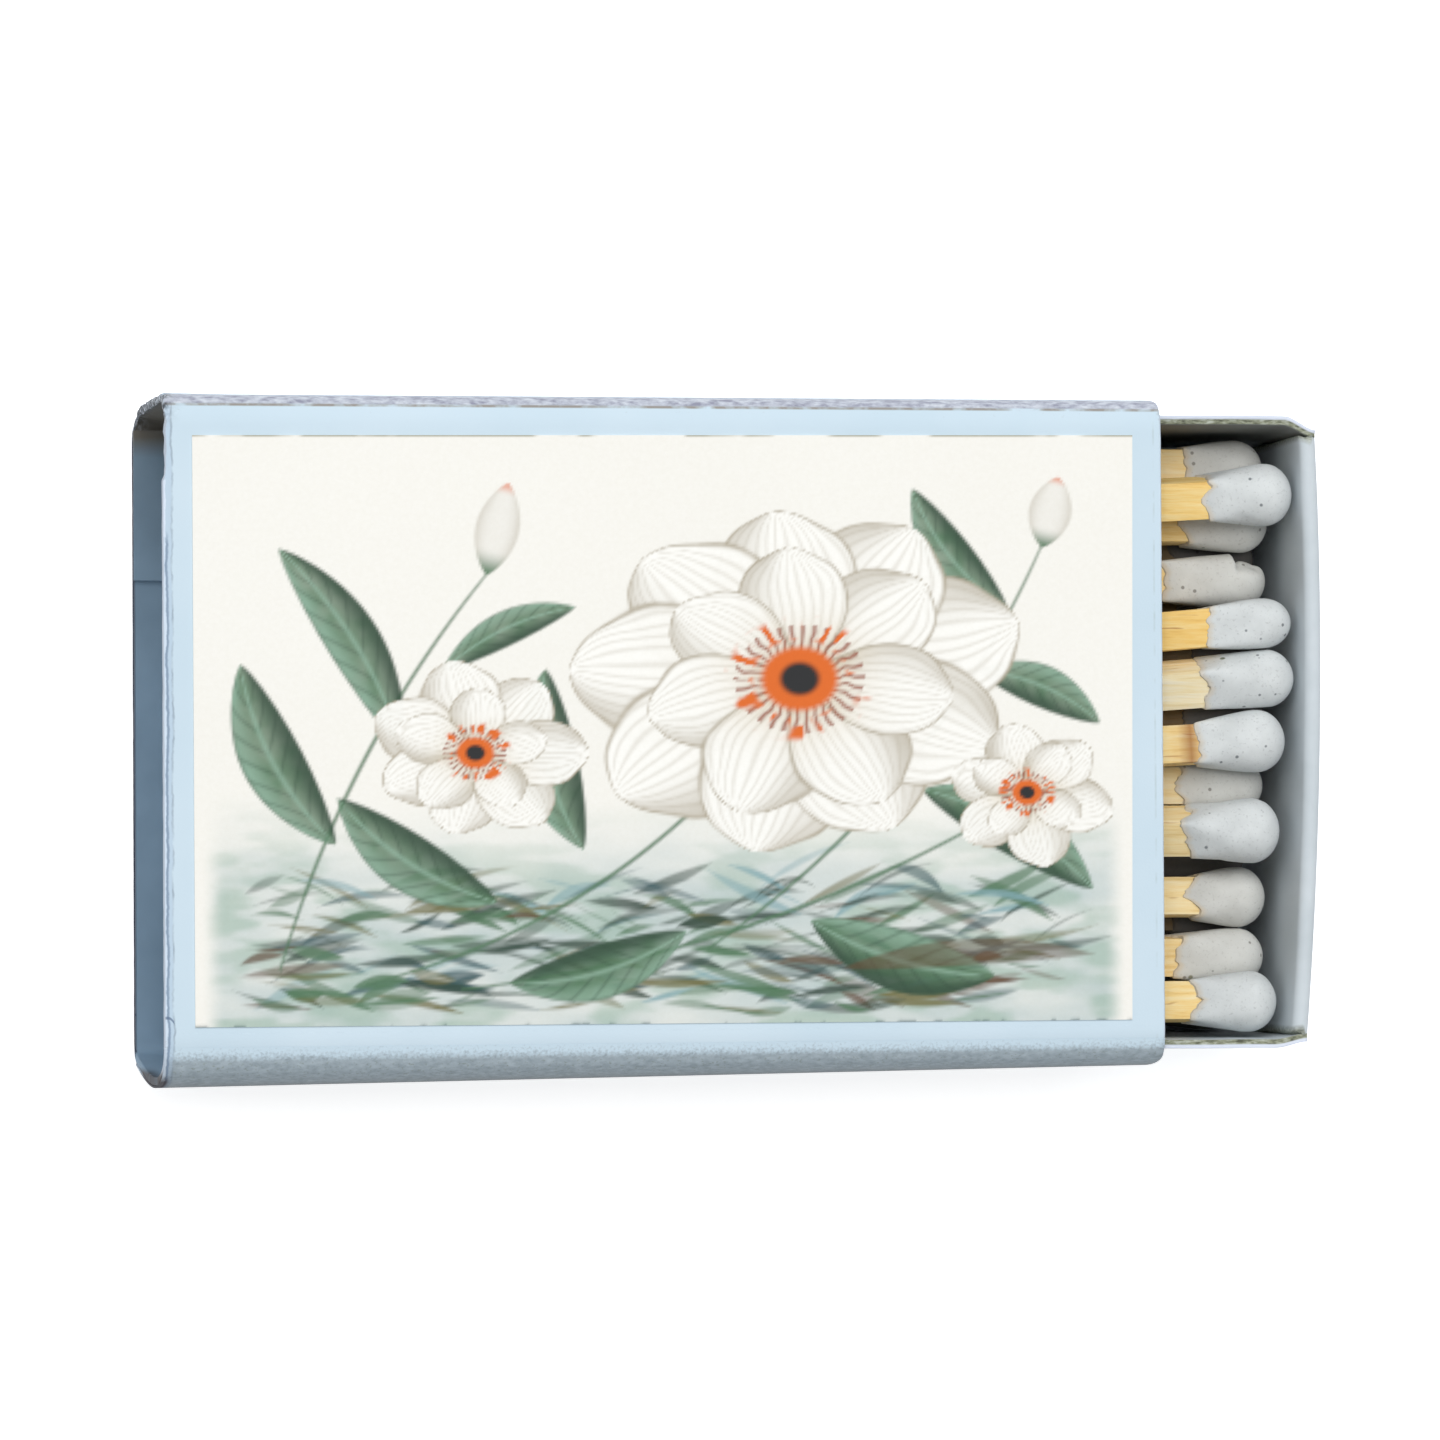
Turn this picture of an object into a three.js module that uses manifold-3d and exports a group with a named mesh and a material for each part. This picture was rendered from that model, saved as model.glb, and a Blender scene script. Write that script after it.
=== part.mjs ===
// A pocket matchbox with its tray drawn part of the way out: a folded card sleeve with a label and a
// striking coat, a folded card tray, and the matches that lie in it, head end towards +X.
// Millimetres, +Z up. The origin is the middle of the sleeve's underside.
import * as THREE from 'three';
import { mergeVertices } from 'three/addons/utils/BufferGeometryUtils.js';
import Module from 'manifold-3d';

const wasm = await Module();
wasm.setup();

// Sleeve
const sleeveLength = 53;
const sleeveWidth = 33.6; // fold to fold, across the top panel
const sleeveHeight = 15;
const card = 0.45; // thickness of the card of sleeve and tray
const foldRadius = 0.9; // outside of the sleeve's four folds
const frontLean = 0.45; // how far the front wall's foot stands out past its top fold
const frontBowLeft = 1.5; // how far the front wall bulges, at the sleeve's left end
const frontBowRight = 0.78; // and at the end that the tray comes out of
const backBow = 0.8;
const bowControl = 0.9; // height of the bulge's control point over the sleeve's height
const lapWidth = 8; // glued lap inside the bottom panel, along the back fold
const lapCard = 0.45;
const sleeveSteps = 8; // sections along the sleeve
const wallSteps = 9; // facets up a bulging wall

// Label and striking coat
const labelLength = 49.8;
const labelWidth = 30.7;
const paper = 0.1;
const coat = 0.1;
const coatGap = 0.02;

// Tray
const trayLength = 52.6;
const rimRoom = 1.05; // between the tray's rim and the sleeve's top panel
const trayOut = 8.7; // how far the tray is drawn out of the closed place
const floorClearance = 0.1; // under the tray, above the lap
const sideClearance = 0.2; // each side of the tray's floor
const rimClearance = 0.12; // between the tray's rim and the front wall
const trayFold = 0.5; // outside radius of the folds along the tray's floor
const endBow = 0.55; // how far the middle of an end wall's rim bulges outwards
const endSkew = 0.021; // slant of the drawn end across the box
const cornerSlit = 0.25; // between an end wall's inner ply and the long wall
const plyTuck = 0.08; // how far one ply's edge lies back from the next
const endSteps = 12; // facets across an end wall

// Matches
const matchLength = 43;
const splintWidth = 2.1;
const headWidth = 3;
const headLength = 5;
const headDome = 1.5; // length of the rounded tip
const headShoulder = 2.9; // from the tip to where the head starts to narrow
const tipCover = 1.7; // paste in front of the splint's end
const socketGap = 0.03; // each side of the splint, inside its head
const film = 0.05; // paste over the splint's long edges
const neckFilm = 0.19; // paste over the splint's faces at the head's lower end
const restGap = 0.05; // between a match and what it lies on or beside
const headSides = 16;

// The third layer, which shows through the top one, and the matches on top, from back to front.
// across: head's place from the middle of the tray, over the tray's inner half width. drift: how much
// nearer to the front the tail lies, in splint widths. wide: the head's width over the usual width.
// turn: degrees about its own length. short: gap from the tip to the end wall, in splint widths.
const thirdLayer = [
  { across: 0.9105, drift: 0, wide: 1, turn: 3, short: 0.452 },
  { across: 0.7159, drift: 0, wide: 1, turn: -4, short: 0.357 },
  { across: 0.525, drift: 0, wide: 1, turn: 2, short: 0.429 },
  { across: 0.2763, drift: 0, wide: 1, turn: 5, short: 0.381 },
  { across: 0.0816, drift: 0, wide: 1, turn: -3, short: 0.476 },
  { across: -0.1695, drift: 0, wide: 1, turn: 0, short: 0.5 },
  { across: -0.5463, drift: 0, wide: 1.08, turn: -5, short: 0.357 },
  { across: -0.7441, drift: 0, wide: 1, turn: 4, short: 0.333 },
];
const topLayer = [
  { across: 0.7987, drift: 0.905, wide: 1.12, turn: 12, short: 0.095 },
  { across: 0.3661, drift: 1.667, wide: 0.9, turn: 0, short: 0.167 },
  { across: 0.1821, drift: 1.452, wide: 1.02, turn: 24, short: 0.095 },
  { across: -0.0264, drift: 1.071, wide: 1.12, turn: -4, short: 0.31 },
  { across: -0.3234, drift: 0, wide: 1.16, turn: 30, short: 0.357 },
  { across: -0.9074, drift: 0, wide: 1.08, turn: -6, short: 0.214 },
];

const paleBlueCard = { color: 0xd5e6f2, roughness: 0.62, metalness: 0 };
const creamPaper = { color: 0xf3f2ed, roughness: 0.7, metalness: 0 };
const greyCoat = { color: 0xa9b7c0, roughness: 0.95, metalness: 0 };
const whiteCard = { color: 0xd0dcea, roughness: 0.75, metalness: 0 };
const aspen = { color: 0xe9c878, roughness: 0.7, metalness: 0 };
const headPaste = { color: 0xd3d4d4, roughness: 0.9, metalness: 0 };

// Places worked out from the sizes above
const sleeveInnerHalf = sleeveWidth / 2 - card;
const trayMiddle = -frontLean / 2;
const trayUnder = card + lapCard + floorClearance;
const trayRim = sleeveHeight - card - rimRoom; // height above the sleeve's underside
const trayFootHalf = sleeveInnerHalf + frontLean / 2 - sideClearance;
const trayFlare = insideFront(sleeveLength / 2, trayRim) - rimClearance + trayMiddle - trayFootHalf;
const endPly = 2 * card;
const socketHalf = splintWidth / 2 + socketGap;
const socketReach = socketHalf * Math.SQRT2 + film;

// How much of the bulge a wall has at a height: a curve through both folds, fullest above the middle.
function bulge(height) {
  const rise = Math.min(Math.max(height / sleeveHeight, 0), 1);
  const curve = 2 * bowControl - 1;
  const along = (bowControl - Math.sqrt(bowControl ** 2 - curve * rise)) / curve;
  return 4 * along * (1 - along);
}

function frontBow(x) {
  return THREE.MathUtils.lerp(frontBowLeft, frontBowRight, x / sleeveLength + 0.5);
}

function frontOffset(x, z) {
  return frontLean * (1 - z / sleeveHeight) + frontBow(x) * bulge(z);
}

// Distance of the front wall's inner face from the sleeve's middle plane.
function insideFront(x, z) {
  return sleeveInnerHalf + frontOffset(x, z);
}

function mesh(name, geometry, look) {
  const body = new THREE.Mesh(geometry, new THREE.MeshStandardMaterial(look));
  body.name = name;
  return body;
}

// Moves each vertex of a geometry in place.
function reshape(geometry, move) {
  const position = geometry.getAttribute('position');
  const point = new THREE.Vector3();
  for (let i = 0; i < position.count; i += 1) {
    point.fromBufferAttribute(position, i);
    move(point);
    position.setXYZ(i, point.x, point.y, point.z);
  }
  geometry.computeVertexNormals();
  return geometry;
}

// A closed outline in Y and Z, carried along X over the given length, middle at zero.
function extrudeAlongX(shape, length, steps) {
  const geometry = new THREE.ExtrudeGeometry(shape, { depth: length, steps, bevelEnabled: false });
  geometry.translate(0, 0, -length / 2);
  const turned = new THREE.Matrix4().makeBasis(
    new THREE.Vector3(0, 1, 0),
    new THREE.Vector3(0, 0, 1),
    new THREE.Vector3(1, 0, 0),
  );
  return geometry.applyMatrix4(turned);
}

function toSolid(geometry) {
  const bare = geometry.clone();
  bare.deleteAttribute('normal');
  bare.deleteAttribute('uv');
  const merged = mergeVertices(bare, 1e-4);
  return new wasm.Manifold(new wasm.Mesh({
    numProp: 3,
    vertProperties: new Float32Array(merged.getAttribute('position').array),
    triVerts: new Uint32Array(merged.getIndex().array),
  }));
}

function toGeometry(solid) {
  const result = solid.getMesh();
  const geometry = new THREE.BufferGeometry();
  geometry.setAttribute('position', new THREE.BufferAttribute(result.vertProperties, 3));
  geometry.setIndex(new THREE.BufferAttribute(result.triVerts, 1));
  geometry.computeVertexNormals();
  return geometry;
}

function quarterTurn(path, y, z, radius, from, steps) {
  for (let i = 0; i <= steps; i += 1) {
    const angle = from + (Math.PI / 2) * (i / steps);
    path.push(new THREE.Vector2(y + radius * Math.cos(angle), z + radius * Math.sin(angle)));
  }
}

// Heights of the corners between a bulging wall's facets.
function wallLevels() {
  const levels = [];
  for (let i = 0; i <= wallSteps; i += 1) {
    levels.push(foldRadius + (sleeveHeight - 2 * foldRadius) * (i / wallSteps));
  }
  return levels;
}

// A box outline with rounded folds and corners at every wall level, counter-clockwise from the bottom
// right.
function tubeOutline(half, low, high, radius) {
  const path = [];
  const between = wallLevels().slice(1, -1);
  quarterTurn(path, half - radius, low + radius, radius, -Math.PI / 2, 3);
  between.forEach((z) => path.push(new THREE.Vector2(half, z)));
  quarterTurn(path, half - radius, high - radius, radius, 0, 3);
  quarterTurn(path, -half + radius, high - radius, radius, Math.PI / 2, 3);
  between.reverse().forEach((z) => path.push(new THREE.Vector2(-half, z)));
  quarterTurn(path, -half + radius, low + radius, radius, Math.PI, 3);
  return path;
}

// The bulge and the lean, on everything close to a long wall.
function bendWalls(point) {
  const wallZone = sleeveWidth / 2 - 2 * foldRadius;
  if (point.y > wallZone) {
    point.y += backBow * bulge(point.z);
  } else if (point.y < -wallZone) {
    point.y -= frontOffset(point.x, point.z);
  }
}

function makeSleeve() {
  const outer = new THREE.Shape(tubeOutline(sleeveWidth / 2, 0, sleeveHeight, foldRadius));
  const innerFold = foldRadius - card;
  const inner = tubeOutline(sleeveInnerHalf, card, sleeveHeight - card, innerFold);
  const lapEdge = sleeveInnerHalf - lapWidth;
  const lapTop = card + lapCard;
  const lapped = inner.filter((corner) => corner.y > lapTop || corner.x < lapEdge);
  const lapCorners = [
    new THREE.Vector2(lapEdge, card),
    new THREE.Vector2(lapEdge, lapTop),
    new THREE.Vector2(sleeveInnerHalf, lapTop),
  ];
  outer.holes.push(new THREE.Path([...lapCorners, ...lapped].reverse()));
  return mesh('sleeve', reshape(extrudeAlongX(outer, sleeveLength, sleeveSteps), bendWalls), paleBlueCard);
}

function makeLabel() {
  const label = mesh('label', new THREE.BoxGeometry(labelLength, labelWidth, paper), creamPaper);
  label.position.z = sleeveHeight + paper / 2;
  return label;
}

// A thin coat on the front wall, with the wall's own facets.
function makeStriker() {
  const face = -(sleeveWidth / 2 + coatGap);
  const levels = wallLevels();
  const outline = [
    ...levels.map((z) => new THREE.Vector2(face, z)),
    ...levels.reverse().map((z) => new THREE.Vector2(face - coat, z)),
  ];
  const strip = extrudeAlongX(new THREE.Shape(outline), sleeveLength, sleeveSteps);
  return mesh('striker', reshape(strip, bendWalls), greyCoat);
}

// Half the tray's outer width at a height above its underside.
function trayHalf(height) {
  return trayFootHalf + trayFlare * (height / (trayRim - trayUnder));
}

// How far an end wall stands out past its corners, in the tray's own frame.
function endBulge(y, height) {
  return endBow * (1 - (y / trayFootHalf) ** 2) * (height / (trayRim - trayUnder));
}

// Distance of the drawn end wall's inner face from the middle of the tray.
function endFace(y, height) {
  return trayLength / 2 - endPly + endSkew * y + endBulge(y, height);
}

// Floor and long walls: a channel of card with rounded folds and raw top edges.
function makeChannel() {
  const height = trayRim - trayUnder;
  const foot = trayFootHalf;
  const rim = trayHalf(height);
  const inner = trayFold - card / 2;
  const path = [new THREE.Vector2(rim - card, height), new THREE.Vector2(foot - card, card + inner)];
  path.push(new THREE.Vector2(foot - card - inner, card));
  path.push(new THREE.Vector2(-foot + card + inner, card));
  path.push(new THREE.Vector2(-foot + card, card + inner), new THREE.Vector2(-rim + card, height));
  path.push(new THREE.Vector2(-rim, height));
  quarterTurn(path, -foot + trayFold, trayFold, trayFold, Math.PI, 3);
  quarterTurn(path, foot - trayFold, trayFold, trayFold, -Math.PI / 2, 3);
  path.push(new THREE.Vector2(rim, height));
  return toSolid(extrudeAlongX(new THREE.Shape(path), trayLength - 2 * plyTuck, 1));
}

// One end wall at +X: an outer ply across the whole width, and the part that is folded over it, whose
// inner ply stops short of the long walls and whose rim is round.
function makeEndWall() {
  const wallHeight = trayRim - trayUnder - card;
  const widthAt = (half, height) => half + trayFlare * (height / (trayRim - trayUnder));
  const bend = (half) => (point) => {
    point.y *= widthAt(half, point.z) / half;
    point.x += trayLength / 2 + endBulge(point.y, point.z);
  };
  const plate = (thickness, face, half) => {
    const box = new THREE.BoxGeometry(thickness, 2 * half, wallHeight - plyTuck, 1, endSteps, 3);
    box.translate(-thickness / 2 - face, 0, (wallHeight + plyTuck) / 2);
    return toSolid(reshape(box, bend(half)));
  };
  const outerHalf = trayFootHalf - plyTuck;
  const innerHalf = trayFootHalf - card - cornerSlit;
  const roll = new THREE.CylinderGeometry(card, card, 2 * innerHalf, 12, endSteps);
  roll.translate(-card, 0, wallHeight);
  return plate(card, 0, outerHalf)
    .add(plate(endPly - plyTuck / 2, plyTuck / 2, innerHalf))
    .add(toSolid(reshape(roll, bend(innerHalf))));
}

function makeTray() {
  const end = makeEndWall();
  const tray = makeChannel().add(end).add(end.mirror([1, 0, 0]));
  const slant = (point) => {
    point.x += endSkew * point.y * (point.x / trayLength + 0.5);
  };
  return mesh('tray', reshape(toGeometry(tray), slant), whiteCard);
}

// The head's half width at a distance from its tip.
function headHalf(distance, wide) {
  const full = (headWidth / 2) * wide;
  if (distance < headDome) {
    return full * Math.sqrt(1 - (1 - distance / headDome) ** 2);
  }
  const narrowing = Math.max(distance - headShoulder, 0) / (headLength - headShoulder);
  return THREE.MathUtils.lerp(full, splintWidth / 2 + neckFilm, narrowing ** 1.5);
}

// How far the head reaches along the splint's diagonals: it always covers the splint's edges.
function headReach(half) {
  return Math.max(half, socketReach);
}

// A dipped head, tip at the origin and neck towards -X: round at the tip, and square with round corners
// where the splint's edges lie close under the paste.
function makeHead(wide) {
  const dome = [0.04, 0.27, 0.6, 1].map((part) => part * headDome);
  const stations = [...dome, headShoulder, (headShoulder + headLength) / 2, headLength];
  const profile = stations.map((distance) => new THREE.Vector2(headHalf(distance, wide), -distance));
  const closed = [new THREE.Vector2(0, 0), ...profile, new THREE.Vector2(0, -headLength)];
  const head = new THREE.LatheGeometry(closed.reverse(), headSides);
  head.rotateZ(-Math.PI / 2);
  return reshape(head, (point) => {
    const half = Math.hypot(point.y, point.z);
    if (-point.x < headDome - 1e-3 || half < 1e-6) {
      return;
    }
    const power = 1 / (0.5 - Math.log2(headReach(half) / half));
    const sides = (Math.abs(point.y) / half) ** power + (Math.abs(point.z) / half) ** power;
    const stretch = sides ** (-1 / power);
    point.y *= stretch;
    point.z *= stretch;
  });
}

function makeSplint(half, start, end) {
  const splint = new THREE.BoxGeometry(end - start, 2 * half, 2 * half);
  splint.translate(-(start + end) / 2, 0, 0);
  return splint;
}

function splintExtent(turn) {
  const angle = THREE.MathUtils.degToRad(Math.abs(turn));
  return (splintWidth / 2) * (Math.cos(angle) + Math.sin(angle));
}

// Moves neighbours apart until each has room, first from the front wall and then from the back wall.
function spread(places, halves, wallHalf) {
  const result = [...places];
  const room = (i) => halves[i] + halves[i + 1] + restGap;
  for (let i = result.length - 1; i >= 0; i -= 1) {
    const limit = i === result.length - 1 ? halves[i] + restGap - wallHalf : result[i + 1] + room(i);
    result[i] = Math.max(result[i], limit);
  }
  for (let i = 0; i < result.length; i += 1) {
    const limit = i === 0 ? wallHalf - halves[i] - restGap : result[i - 1] - room(i - 1);
    result[i] = Math.min(result[i], limit);
  }
  return result;
}

// An even layer for the hidden matches, each beside the next, at the pitch at which perWidth matches
// fill the tray's width.
function evenLayer(count, perWidth) {
  return Array.from({ length: count }, (_, i) => ({
    across: (count - 1 - 2 * i) / perWidth,
    drift: 0.14 * Math.sin(5 * i + count),
    wide: 1,
    turn: 6 * Math.sin(3 * i + count),
    short: 0.38 + 0.14 * Math.sin(7 * i + count),
  }));
}

// Gives every match of a layer the heights at which its head and its tail come to rest on those below.
function settle(layer, below) {
  const innerHalf = trayFootHalf - card;
  const headHalves = layer.map((match) => Math.max((headWidth / 2) * match.wide, splintExtent(match.turn)));
  const tailHalves = layer.map((match) => splintExtent(match.turn));
  const heads = spread(layer.map((match) => match.across * innerHalf), headHalves, innerHalf);
  const tails = spread(
    layer.map((match, i) => heads[i] - match.drift * splintWidth),
    tailHalves,
    innerHalf,
  );
  return layer.map((match, i) => {
    const reach = headReach(headHalves[i]);
    const extent = tailHalves[i];
    let headHeight = card + reach + restGap;
    below.forEach((other) => {
      const distance = reach + other.reach + restGap;
      const aside = Math.abs(heads[i] - other.head.y);
      if (aside < distance) {
        headHeight = Math.max(headHeight, other.head.z + Math.sqrt(distance ** 2 - aside ** 2));
      }
    });
    let tailHeight = card + extent + restGap;
    [0.3, 0.5, 0.75, 1].forEach((part) => {
      const y = THREE.MathUtils.lerp(heads[i], tails[i], part);
      below.forEach((other) => {
        const room = extent + other.extent + restGap;
        if (Math.abs(y - THREE.MathUtils.lerp(other.head.y, other.tail.y, part)) < room) {
          const height = THREE.MathUtils.lerp(other.head.z, other.tail.z, part) + room;
          tailHeight = Math.max(tailHeight, headHeight + (height - headHeight) / part);
        }
      });
    });
    const headMiddle = headLength / 2;
    const tip = endFace(heads[i], headHeight) - match.short * splintWidth;
    return {
      match,
      reach,
      extent,
      tip,
      head: new THREE.Vector3(tip - headMiddle, heads[i], headHeight),
      tail: new THREE.Vector3(tip - matchLength, tails[i], tailHeight),
    };
  });
}

function layMatches() {
  const innerWidth = 2 * (trayFootHalf - card);
  const headRoom = headWidth + 2 * restGap;
  const count = Math.floor(innerWidth / headRoom);
  const first = settle(evenLayer(count, count), []);
  const second = settle(evenLayer(count - 1, count), first);
  const third = settle(thirdLayer, second);
  const top = settle(topLayer, [...second, ...third]);
  return { hidden: [...first, ...second], seen: [...third, ...top] };
}

// Stands a match's frame at its tip and points it from tail to head.
function place(object, lie) {
  const along = lie.head.clone().sub(lie.tail).normalize();
  const side = new THREE.Vector3(0, 0, 1).cross(along).normalize();
  const up = along.clone().cross(side);
  object.quaternion.setFromRotationMatrix(new THREE.Matrix4().makeBasis(along, side, up));
  object.rotateX(THREE.MathUtils.degToRad(lie.match.turn));
  object.position.copy(lie.head).addScaledVector(along, headLength / 2);
  return object;
}

function addMatches(tray) {
  const { hidden, seen } = layMatches();
  const number = (i) => String(i + 1).padStart(2, '0');
  hidden.forEach((lie, i) => {
    const splint = toSolid(makeSplint(splintWidth / 2, tipCover, matchLength));
    const whole = toSolid(makeHead(lie.match.wide)).add(splint);
    tray.add(place(mesh(`match_${number(i)}`, toGeometry(whole), aspen), lie));
  });
  seen.forEach((lie, i) => {
    const label = number(hidden.length + i);
    const socket = makeSplint(socketHalf, tipCover - socketGap, matchLength);
    const head = toSolid(makeHead(lie.match.wide)).subtract(toSolid(socket));
    const splint = makeSplint(splintWidth / 2, tipCover, matchLength);
    tray.add(place(mesh(`match_${label}_splint`, splint, aspen), lie));
    tray.add(place(mesh(`match_${label}_head`, toGeometry(head), headPaste), lie));
  });
}

const matchbox = new THREE.Group();
matchbox.add(makeSleeve(), makeLabel(), makeStriker());

const drawnTray = new THREE.Group();
drawnTray.position.set(trayOut, trayMiddle, trayUnder);
drawnTray.add(makeTray());
addMatches(drawnTray);
matchbox.add(drawnTray);

export default matchbox;
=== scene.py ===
import math

import bpy
import numpy as np
from mathutils import Matrix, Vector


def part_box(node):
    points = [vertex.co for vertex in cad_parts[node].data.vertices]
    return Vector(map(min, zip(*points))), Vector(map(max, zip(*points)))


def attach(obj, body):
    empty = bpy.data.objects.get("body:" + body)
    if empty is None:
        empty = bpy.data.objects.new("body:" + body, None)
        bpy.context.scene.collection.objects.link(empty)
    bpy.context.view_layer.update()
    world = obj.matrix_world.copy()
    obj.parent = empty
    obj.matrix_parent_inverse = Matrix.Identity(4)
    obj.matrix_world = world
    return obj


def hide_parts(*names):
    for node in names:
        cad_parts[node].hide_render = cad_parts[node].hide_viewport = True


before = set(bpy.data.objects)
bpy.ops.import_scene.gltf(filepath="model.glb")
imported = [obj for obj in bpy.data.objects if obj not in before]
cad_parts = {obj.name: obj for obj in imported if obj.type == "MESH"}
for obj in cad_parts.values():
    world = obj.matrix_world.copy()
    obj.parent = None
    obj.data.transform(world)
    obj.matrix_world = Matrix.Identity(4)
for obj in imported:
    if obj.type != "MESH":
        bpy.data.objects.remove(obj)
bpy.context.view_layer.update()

mm = 0.001


# Small tools

def linear(hexText):
    # sRGB hex to the linear values that the shader sockets take
    values = [int(hexText[i:i + 2], 16) / 255 for i in (1, 3, 5)]
    return tuple(v / 12.92 if v <= 0.04045 else ((v + 0.055) / 1.055) ** 2.4 for v in values)


def smooth(low, high, value):
    t = np.clip((value - low) / (high - low), 0, 1)
    return t * t * (3 - 2 * t)


def hashed(ix, iy, seed):
    # a repeatable value from 0 to 1 for each pair of whole numbers
    h = np.sin(ix * 127.1 + iy * 311.7 + seed * 74.7) * 43758.5453
    return h - np.floor(h)


def noise(x, y, seed=0):
    # smooth value noise: the four corners of each unit cell, blended
    x, y = np.broadcast_arrays(np.asarray(x, float), np.asarray(y, float))
    ix, iy = np.floor(x), np.floor(y)
    fx, fy = smooth(0, 1, x - ix), smooth(0, 1, y - iy)
    low = hashed(ix, iy, seed) * (1 - fx) + hashed(ix + 1, iy, seed) * fx
    high = hashed(ix, iy + 1, seed) * (1 - fx) + hashed(ix + 1, iy + 1, seed) * fx
    return low * (1 - fy) + high * fy


def layered(x, y, seed=0, octaves=3):
    total = sum(noise(x * 2 ** k, y * 2 ** k, seed + 9 * k) / 2 ** k for k in range(octaves))
    return total / sum(1 / 2 ** k for k in range(octaves))


def newMesh(name, points, faces, material, shade=True):
    mesh = bpy.data.meshes.new(name)
    mesh.from_pydata((np.asarray(points, float) * mm).tolist(), [], faces)
    mesh.polygons.foreach_set("use_smooth", [shade] * len(mesh.polygons))
    mesh.update()
    piece = bpy.data.objects.new(name, mesh)
    bpy.context.scene.collection.objects.link(piece)
    mesh.materials.append(material)
    return piece


def gridFaces(rows, columns, closeRows=False, closeColumns=False):
    # quads of a grid of rows times columns, wrapped round where a direction closes on itself
    i = np.arange(rows if closeRows else rows - 1)
    j = np.arange(columns if closeColumns else columns - 1)
    i, j = np.meshgrid(i, j, indexing="ij")
    ni, nj = (i + 1) % rows, (j + 1) % columns
    quads = np.stack([i * columns + j, i * columns + nj, ni * columns + nj, ni * columns + j], -1)
    return quads.reshape(-1, 4).tolist()


def faceOut(piece):
    # turns every face of a closed piece outwards, going by the sign of its volume
    mesh = piece.data
    mesh.calc_loop_triangles()
    points = np.empty(len(mesh.vertices) * 3)
    mesh.vertices.foreach_get("co", points)
    points = points.reshape(-1, 3)
    corners = np.empty(len(mesh.loop_triangles) * 3, int)
    mesh.loop_triangles.foreach_get("vertices", corners)
    a, b, c = (points[corners.reshape(-1, 3)[:, k]] for k in range(3))
    if np.einsum("ij,ij->i", a, np.cross(b, c)).sum() < 0:
        mesh.flip_normals()
    return piece


def makeTube(name, x, y, z, material, shade=True):
    # a closed piece from rings of points, one ring to a row, with a flat face over each end
    rows, columns = x.shape
    first = tuple(range(columns - 1, -1, -1))
    last = tuple((rows - 1) * columns + k for k in range(columns))
    points = np.stack([x, y, z], -1).reshape(-1, 3)
    faces = gridFaces(rows, columns, False, True) + [first, last]
    return faceOut(newMesh(name, points, faces, material, shade))


def addValues(piece, **values):
    # under each name, one value at each point or the same one at all of them
    count = len(piece.data.vertices)
    for name, value in values.items():
        layer = piece.data.attributes.new(name, "FLOAT", "POINT")
        flat = np.zeros(count, np.float32) + np.asarray(value, np.float32).ravel()
        layer.data.foreach_set("value", flat)


def addColours(piece, name, colours):
    # linear colour at each point
    colours = np.asarray(colours, np.float32).reshape(-1, 3)
    layer = piece.data.attributes.new(name, "FLOAT_COLOR", "POINT")
    opaque = np.ones((len(colours), 1), np.float32)
    layer.data.foreach_set("color", np.hstack([colours, opaque]).ravel())


def addNode(tree, kind, inputs=(), output=0, stops=(), **settings):
    # one node with its settings. Its inputs, by place or name, are fixed values, hex colours or the
    # outputs of other nodes, and a colour ramp's stops are pairs of a position and a hex colour
    node = tree.nodes.new("ShaderNode" + kind)
    for name, value in settings.items():
        setattr(node, name, value)
    for key, value in inputs.items() if isinstance(inputs, dict) else enumerate(inputs):
        if isinstance(value, bpy.types.NodeSocket):
            tree.links.new(value, node.inputs[key])
        else:
            isColour = isinstance(value, str)
            node.inputs[key].default_value = (*linear(value), 1) if isColour else value
    for k, (position, colour) in enumerate(stops):
        elements = node.color_ramp.elements
        element = elements[k] if k < 2 else elements.new(position)
        element.position = position
        element.color = (*linear(colour), 1)
    return node.outputs[output] if node.outputs else None


def emptyTree(owner):
    owner.use_nodes = True
    owner.node_tree.nodes.clear()
    return owner.node_tree


# Camera and room

cameraPlace = {
    "place": (-69.09, -9.82, 404.68),  # mm, worked out from the photo's corners
    "turn": -0.005933, "tilt": -0.181999, "roll": 0.027041,
    "lens": 189.68, "sensor": 36, "clipStart": 0.01,
}


def makeCamera():
    data = bpy.data.cameras.new("camera")
    data.lens = cameraPlace["lens"]
    data.sensor_width = cameraPlace["sensor"]
    data.clip_start = cameraPlace["clipStart"]
    camera = bpy.data.objects.new("camera", data)
    place = Matrix.Translation([v * mm for v in cameraPlace["place"]])
    for angle, axis in (("turn", "Z"), ("tilt", "Y"), ("roll", "X")):
        place = place @ Matrix.Rotation(cameraPlace[angle], 4, axis)
    camera.matrix_world = place
    bpy.context.scene.collection.objects.link(camera)
    bpy.context.scene.camera = camera


roomLight = {
    "floor": "#F4F5F6", "floorGlow": 0.62, "floorSize": 1.6, "skyColour": (0.97, 0.985, 1, 1),
    "sky": 0.46, "lampPower": 3.5, "lampSize": 0.5, "lampPlace": (0.0, 0.26, 0.68),
    "sidePower": 0.5, "sideSize": 0.5, "sidePlace": (-0.7, 0.1, 0.45),
}


def cameraShare(tree):
    # 1 where the camera sees a surface, straight or mirrored, and 0 where it only lights others
    path = addNode(tree, "LightPath").node.outputs
    seen = addNode(tree, "Math", (path["Is Camera Ray"], path["Is Glossy Ray"]), operation="MAXIMUM")
    return addNode(tree, "Math", (seen, path["Is Transmission Ray"]), operation="MAXIMUM")


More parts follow.
